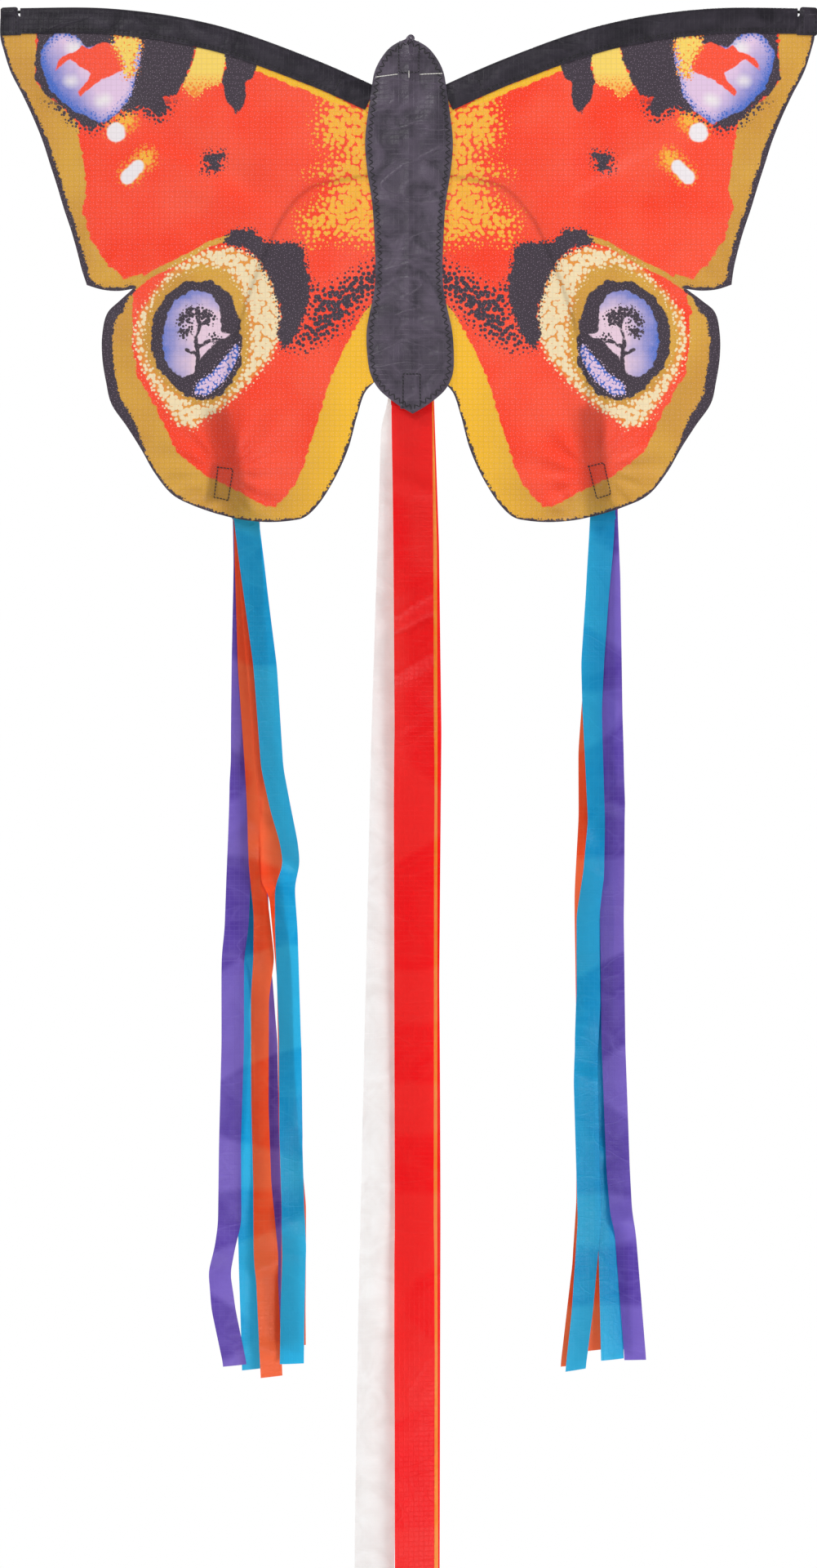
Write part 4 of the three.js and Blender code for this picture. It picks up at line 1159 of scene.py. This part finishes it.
# Ribbons are laid from front to back, each pushed behind the ones before it.
def layRibbons(label, tail):
    full = tail["width"]
    rows = np.arange(tail["top"], tail["end"] - 10, -ribbonCut["row"])
    at = -rows
    settle = ease(at, at[0] + 10, at[0] + 60)
    cells = np.arange(-150, 170, 1.0)
    deepest = np.full((len(rows), len(cells)), -1e9)
    across = np.linspace(-1, 1, ribbonCut["columns"])
    closer = np.linspace(-1, 1, 33)
    for order, (name, material, end, keys, creases) in enumerate(tail["ribbons"]):
        centre, visible, turn = [keyed(keys, column, at, bell(7)) for column in (1, 2, 3)]
        tilt, profile = ribbonProfile(tail, order, order * 3.7 + len(label), rows, turn, visible, settle, creases)
        half = np.sqrt(np.maximum((full / 2) ** 2 - tilt ** 2, 1))
        half = np.minimum(half, np.where(settle < 1, full / 2, visible / 2 + 0.4))

        # the depth at which each row just clears what is already there, smoothed without coming nearer
        columns = np.round(centre[:, None] + half[:, None] * closer - cells[0]).astype(int).clip(0, len(cells) - 1)
        dense = np.array([np.interp(closer, across, row) for row in profile])
        need = np.array([(deepest[i, columns[i]] + ribbonCut["clear"] - dense[i]).max() for i in range(len(rows))])
        base = tail["front"] + order * ribbonCut["layer"] + 0.12 + ribbonCut["splay"] * order * (at - at[0])
        if order == 0:
            base = base - ribbonCut["frontLean"] * settle
        padded = np.pad(np.maximum(base, need), 6, mode="edge")
        widest = np.array([padded[i:i + 13].max() for i in range(len(rows))])
        shift = np.convolve(np.pad(widest, 6, mode="edge"), bell(15), "valid")
        for i in range(len(rows)):
            np.maximum.at(deepest[i], columns[i], shift[i] + dense[i])

        size, last = len(across), int(np.searchsorted(at, -end))
        points, faces = [], []
        for i in range(last + 1):
            slant = 0.5 if i == last else 0  # the cut at the end isn't quite square
            for k, s in enumerate(across):
                points.append((centre[i] + s * half[i], shift[i] + profile[i, k], max(rows[i], end) + slant * s))
        for i in range(last):
            for k in range(size - 1):
                a = i * size + k
                faces.append((a, a + size, a + size + 1, a + 1))
        piece = meshPiece(label + "Ribbon" + name.title().replace("_", ""), points, faces, material)
        hinge = (label + "_tail", label + "_strips", (0, 8, tail["sewn"] + 0.5), (0, 8, tail["sewn"] - 7))
        place(piece, label + "_strips", "ribbon_" + name.split("_")[0], f"{label}_strip_{name}", bends=hinge)


# The sewn stack at the top of a tail: the ribbons' upper ends, one on another, stitched through.
def makeBand(label, tail):
    route = evenly(np.array(tail["band"], float), 2.0)
    columns = np.linspace(-1, 1, 7)
    size, rows = len(columns), len(route)
    layerPoints = size * rows
    materials = [ribbon[1] for ribbon in tail["ribbons"]]
    names = list(dict.fromkeys(m.name for m in materials))
    points, faces, owners = [], [], []
    for layer, material in enumerate(materials):
        front = tail["front"] + layer * ribbonCut["layer"]
        offset = len(points)
        half = tail["width"] / 2 - (layer % 3) * 0.3
        for depth in (front, front + ribbonCut["thick"]):
            for i, (x, z) in enumerate(route):
                for s in columns:
                    pinch = 0.1 * math.sin(z * 0.9 + s * 2 + layer)
                    points.append((x + s * half, depth + pinch, z + (1.2 if i == 0 else 0) * (layer % 2)))
        for i in range(rows - 1):
            for k in range(size - 1):
                a = offset + i * size + k
                faces.append((a, a + size, a + size + 1, a + 1))
                a += layerPoints
                faces.append((a, a + 1, a + size + 1, a + size))
        grid = offset + np.arange(layerPoints).reshape(rows, size)
        rim = [int(a) for a in (*grid[0], *grid[1:, -1], *grid[-1, -2::-1], *grid[-2:0:-1, 0])]
        for a, b in zip(rim, rim[1:] + rim[:1]):
            faces.append((a, b, b + layerPoints, a + layerPoints))
        owners += [names.index(material.name)] * (len(faces) - len(owners))
    piece = meshPiece(label + "TailBand", points, faces, materials[0])
    for name in names[1:]:
        piece.data.materials.append(bpy.data.materials[name])
    piece.data.polygons.foreach_set("material_index", owners)
    slot = "ribbon_" + tail["ribbons"][0][0].split("_")[0]
    hinge = (tail["above"], label + "_tail", (0, 8, tail["hinge"] + 4), (0, 8, tail["hinge"] - 4))
    place(piece, label + "_tail", slot, label + "_tail_tab", label + "_tail_stack", bends=hinge)


for label, tail in tails.items():
    layRibbons(label, tail)
    makeBand(label, tail)
print("tails ready")


# Stitches
def stitchTree():
    tree = bpy.data.node_groups.new("Stitch row", "GeometryNodeTree")
    tree.interface.new_socket("Geometry", in_out="INPUT", socket_type="NodeSocketGeometry")
    for name in ("Pitch", "Stitch Length", "Thread Radius", "Swing", "Unevenness"):
        tree.interface.new_socket(name, in_out="INPUT", socket_type="NodeSocketFloat")
    tree.interface.new_socket("Thread", in_out="INPUT", socket_type="NodeSocketMaterial")
    tree.interface.new_socket("Geometry", in_out="OUTPUT", socket_type="NodeSocketGeometry")
    given = addNode(tree, "NodeGroupInput").outputs
    rows = addNode(tree, "GeometryNodeMeshToCurve", {"Mesh": given["Geometry"]})
    rows = addNode(
        tree, "GeometryNodeResampleCurve", {"Curve": rows.outputs[0], "Length": given["Pitch"]}, mode="LENGTH"
    )
    along = addNode(tree, "GeometryNodeInputTangent").outputs[0]
    lined = addNode(tree, "FunctionNodeAlignRotationToVector", {"Vector": along}, axis="X")
    index = addNode(tree, "GeometryNodeInputIndex").outputs[0]
    other = addNode(tree, "ShaderNodeMath", {0: index, 1: 2.0}, operation="MODULO").outputs[0]
    sign = addNode(tree, "ShaderNodeMath", {0: other, 1: 2.0, 2: -1.0}, operation="MULTIPLY_ADD").outputs[0]
    swing = addNode(tree, "ShaderNodeMath", {0: sign, 1: given["Swing"]}, operation="MULTIPLY").outputs[0]
    drift = addNode(tree, "FunctionNodeRandomValue", {"Min": -0.5, "Max": 0.5, "Seed": 5}, data_type="FLOAT")
    drift = [s for s in drift.outputs if s.enabled][0]
    drift = addNode(
        tree, "ShaderNodeMath", {0: drift, 1: given["Unevenness"], 2: swing}, operation="MULTIPLY_ADD"
    ).outputs[0]
    tilt = addNode(tree, "FunctionNodeAxisAngleToRotation", {"Axis": (0, 1, 0), "Angle": drift})
    turned = addNode(
        tree, "FunctionNodeRotateRotation", {"Rotation": lined.outputs[0], "Rotate By": tilt.outputs[0]},
        rotation_space="LOCAL",
    )
    half = addNode(tree, "ShaderNodeMath", {0: given["Stitch Length"], 1: 0.5}, operation="MULTIPLY").outputs[0]
    size = addNode(
        tree, "ShaderNodeCombineXYZ", {"X": half, "Y": given["Thread Radius"], "Z": given["Thread Radius"]}
    )
    bead = addNode(tree, "GeometryNodeMeshUVSphere", {"Segments": 6, "Rings": 5, "Radius": 1.0})
    bead = addNode(tree, "GeometryNodeTransform", {"Geometry": bead.outputs[0], "Scale": size.outputs[0]})
    sewn = addNode(
        tree, "GeometryNodeInstanceOnPoints",
        {"Points": rows.outputs[0], "Instance": bead.outputs[0], "Rotation": turned.outputs[0]},
    )
    real = addNode(tree, "GeometryNodeRealizeInstances", {"Geometry": sewn.outputs[0]})
    smooth = addNode(tree, "GeometryNodeSetShadeSmooth", {"Geometry": real.outputs[0]})
    dyed = addNode(tree, "GeometryNodeSetMaterial", {"Geometry": smooth.outputs[0], "Material": given["Thread"]})
    addNode(tree, "NodeGroupOutput", {"Geometry": dyed.outputs[0]})
    return tree


stitches = stitchTree()
stitchSorts = {
    "zigzag": {"Pitch": 2.1, "Stitch Length": 4.0, "Thread Radius": 0.3, "Swing": 1.0, "Unevenness": 0.12},
    "straight": {"Pitch": 2.9, "Stitch Length": 2.2, "Thread Radius": 0.26, "Swing": 0.0, "Unevenness": 0.1},
    "box": {"Pitch": 2.1, "Stitch Length": 1.9, "Thread Radius": 0.36, "Swing": 0.0, "Unevenness": 0.1},
}


def sew(name, sort, rows, body, slot, bends=None):
    points, edges = [], []
    for row in rows:
        edges += [(len(points) + i, len(points) + i + 1) for i in range(len(row) - 1)]
        points += [metres(p) for p in row]
    mesh = bpy.data.meshes.new(name)
    mesh.from_pydata(points, edges, [])
    piece = bpy.data.objects.new(name, mesh)
    bpy.context.scene.collection.objects.link(piece)
    modifier = piece.modifiers.new("stitches", "NODES")
    modifier.node_group = stitches
    given = {"Thread": blackThread, **stitchSorts[sort]}
    for item in stitches.interface.items_tree:
        if item.in_out == "INPUT" and item.name in given:
            inMetres = item.name in ("Pitch", "Stitch Length", "Thread Radius")
            modifier[item.identifier] = given[item.name] / 1000 if inMetres else given[item.name]
    bpy.context.view_layer.update()
    made = bpy.data.meshes.new_from_object(piece.evaluated_get(bpy.context.evaluated_depsgraph_get()))
    piece.modifiers.clear()
    piece.data = made
    place(piece, body, slot, bends=bends)


# Where thread runs: each row's places, and how far it stands in front of the cloth or the sail's plane.
seams = {
    "panelInset": 2.9, "panelLift": 0.2, "sleeveDepth": -0.93, "cuffDepth": -1.3, "tipDepth": -0.95,
    "tipSides": (251.2, 259.6), "tipFoot": 26.4, "boxLift": 0.5, "archLift": 0.4,
    "panelBoxes": [
        [(-6.6, 18.5), (-6.4, 1), (6.2, 1), (6.5, 18.5)],
        [(-3.9, -212.5), (-3.7, -191.5), (7.1, -191.5), (7.3, -211)],
    ],
    "archBoxes": {
        "left": [(-122, -251), (-112.5, -252), (-115.5, -272), (-124.5, -270)],
        "right": [(115, -250.5), (124.5, -248), (129, -268), (120, -271)],
    },
}


# Thread along a line on a sheet, in front of the depth that the sheet has there.
def onSheet(line, depthAt, side, lift):
    line = evenly(np.array(line, float), 1.5)
    depth = depthAt(np.stack([np.abs(line[:, 0]), line[:, 1]], 1), side) - lift
    return [(x, y, z) for (x, z), y in zip(line, depth)]


def sewAll():
    inset = smoothPath(np.array(panel["half"]), 1.0)
    normal = np.gradient(inset, axis=0)
    normal /= np.linalg.norm(normal, axis=1)[:, None]
    gap = seams["panelInset"]
    row = np.stack([inset[:, 0] + normal[:, 1] * gap, inset[:, 1] - normal[:, 0] * gap], 1)
    row = row[row[:, 0] > 0.4]
    cuff = evenly(np.array([belowLeading(drop, 40, 44)[-1] for drop in (2, 14)]), 2)
    tipStart, tipEnd = seams["tipSides"]
    tipUp, tipAcross = np.arange(26.5, 41, 1.5), np.arange(tipStart, 260, 1.5)
    tipRows = [
        [(tipStart, z) for z in tipUp], [(x, seams["tipFoot"]) for x in tipAcross], [(tipEnd, z) for z in tipUp],
    ]
    for label, side in wings:
        depth = panelDepth(row, side) - seams["panelLift"]
        path = [(float(panelLean(side * x, z)), y, z) for (x, z), y in zip(row, depth)]
        sew(label + "PanelStitches", "zigzag", [path], "body_frame", "panel", bends=wingHinge(label, side))
        lines = [belowLeading(drop, 24, 247, 1.5) for drop in sleeve["stitchRows"]]
        rows = [[(side * x, seams["sleeveDepth"], z) for x, z in line] for line in lines]
        rows.append([(side * (x - 1.4), seams["cuffDepth"], z) for x, z in cuff])
        rows += [[(side * x, seams["tipDepth"], z) for x, z in line] for line in tipRows]
        sew(label + "SleeveStitches", "straight", rows, label + "_wing", "sleeve")
    rows = [onSheet(box, panelDepth, 0, seams["boxLift"]) for box in seams["panelBoxes"]]
    sew("PanelPocketStitches", "box", rows, "body_frame", "panel")
    for label, side in wings:
        corners = seams["archBoxes"][label]
        rows = [onSheet(corners + corners[:1], sailDepth, side, seams["archLift"])]
        sew(label + "PocketStitches", "box", rows, label + "_wing", "sail")


sewAll()
print("stitches ready")

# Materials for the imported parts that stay
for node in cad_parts:
    part = bpy.data.objects.get(node)
    if part is None or part.type != "MESH":
        continue
    finish = glassFibre if "rod" in node else vinyl
    for slotEntry in part.material_slots:
        slotEntry.material = finish
print("packed parts finished")
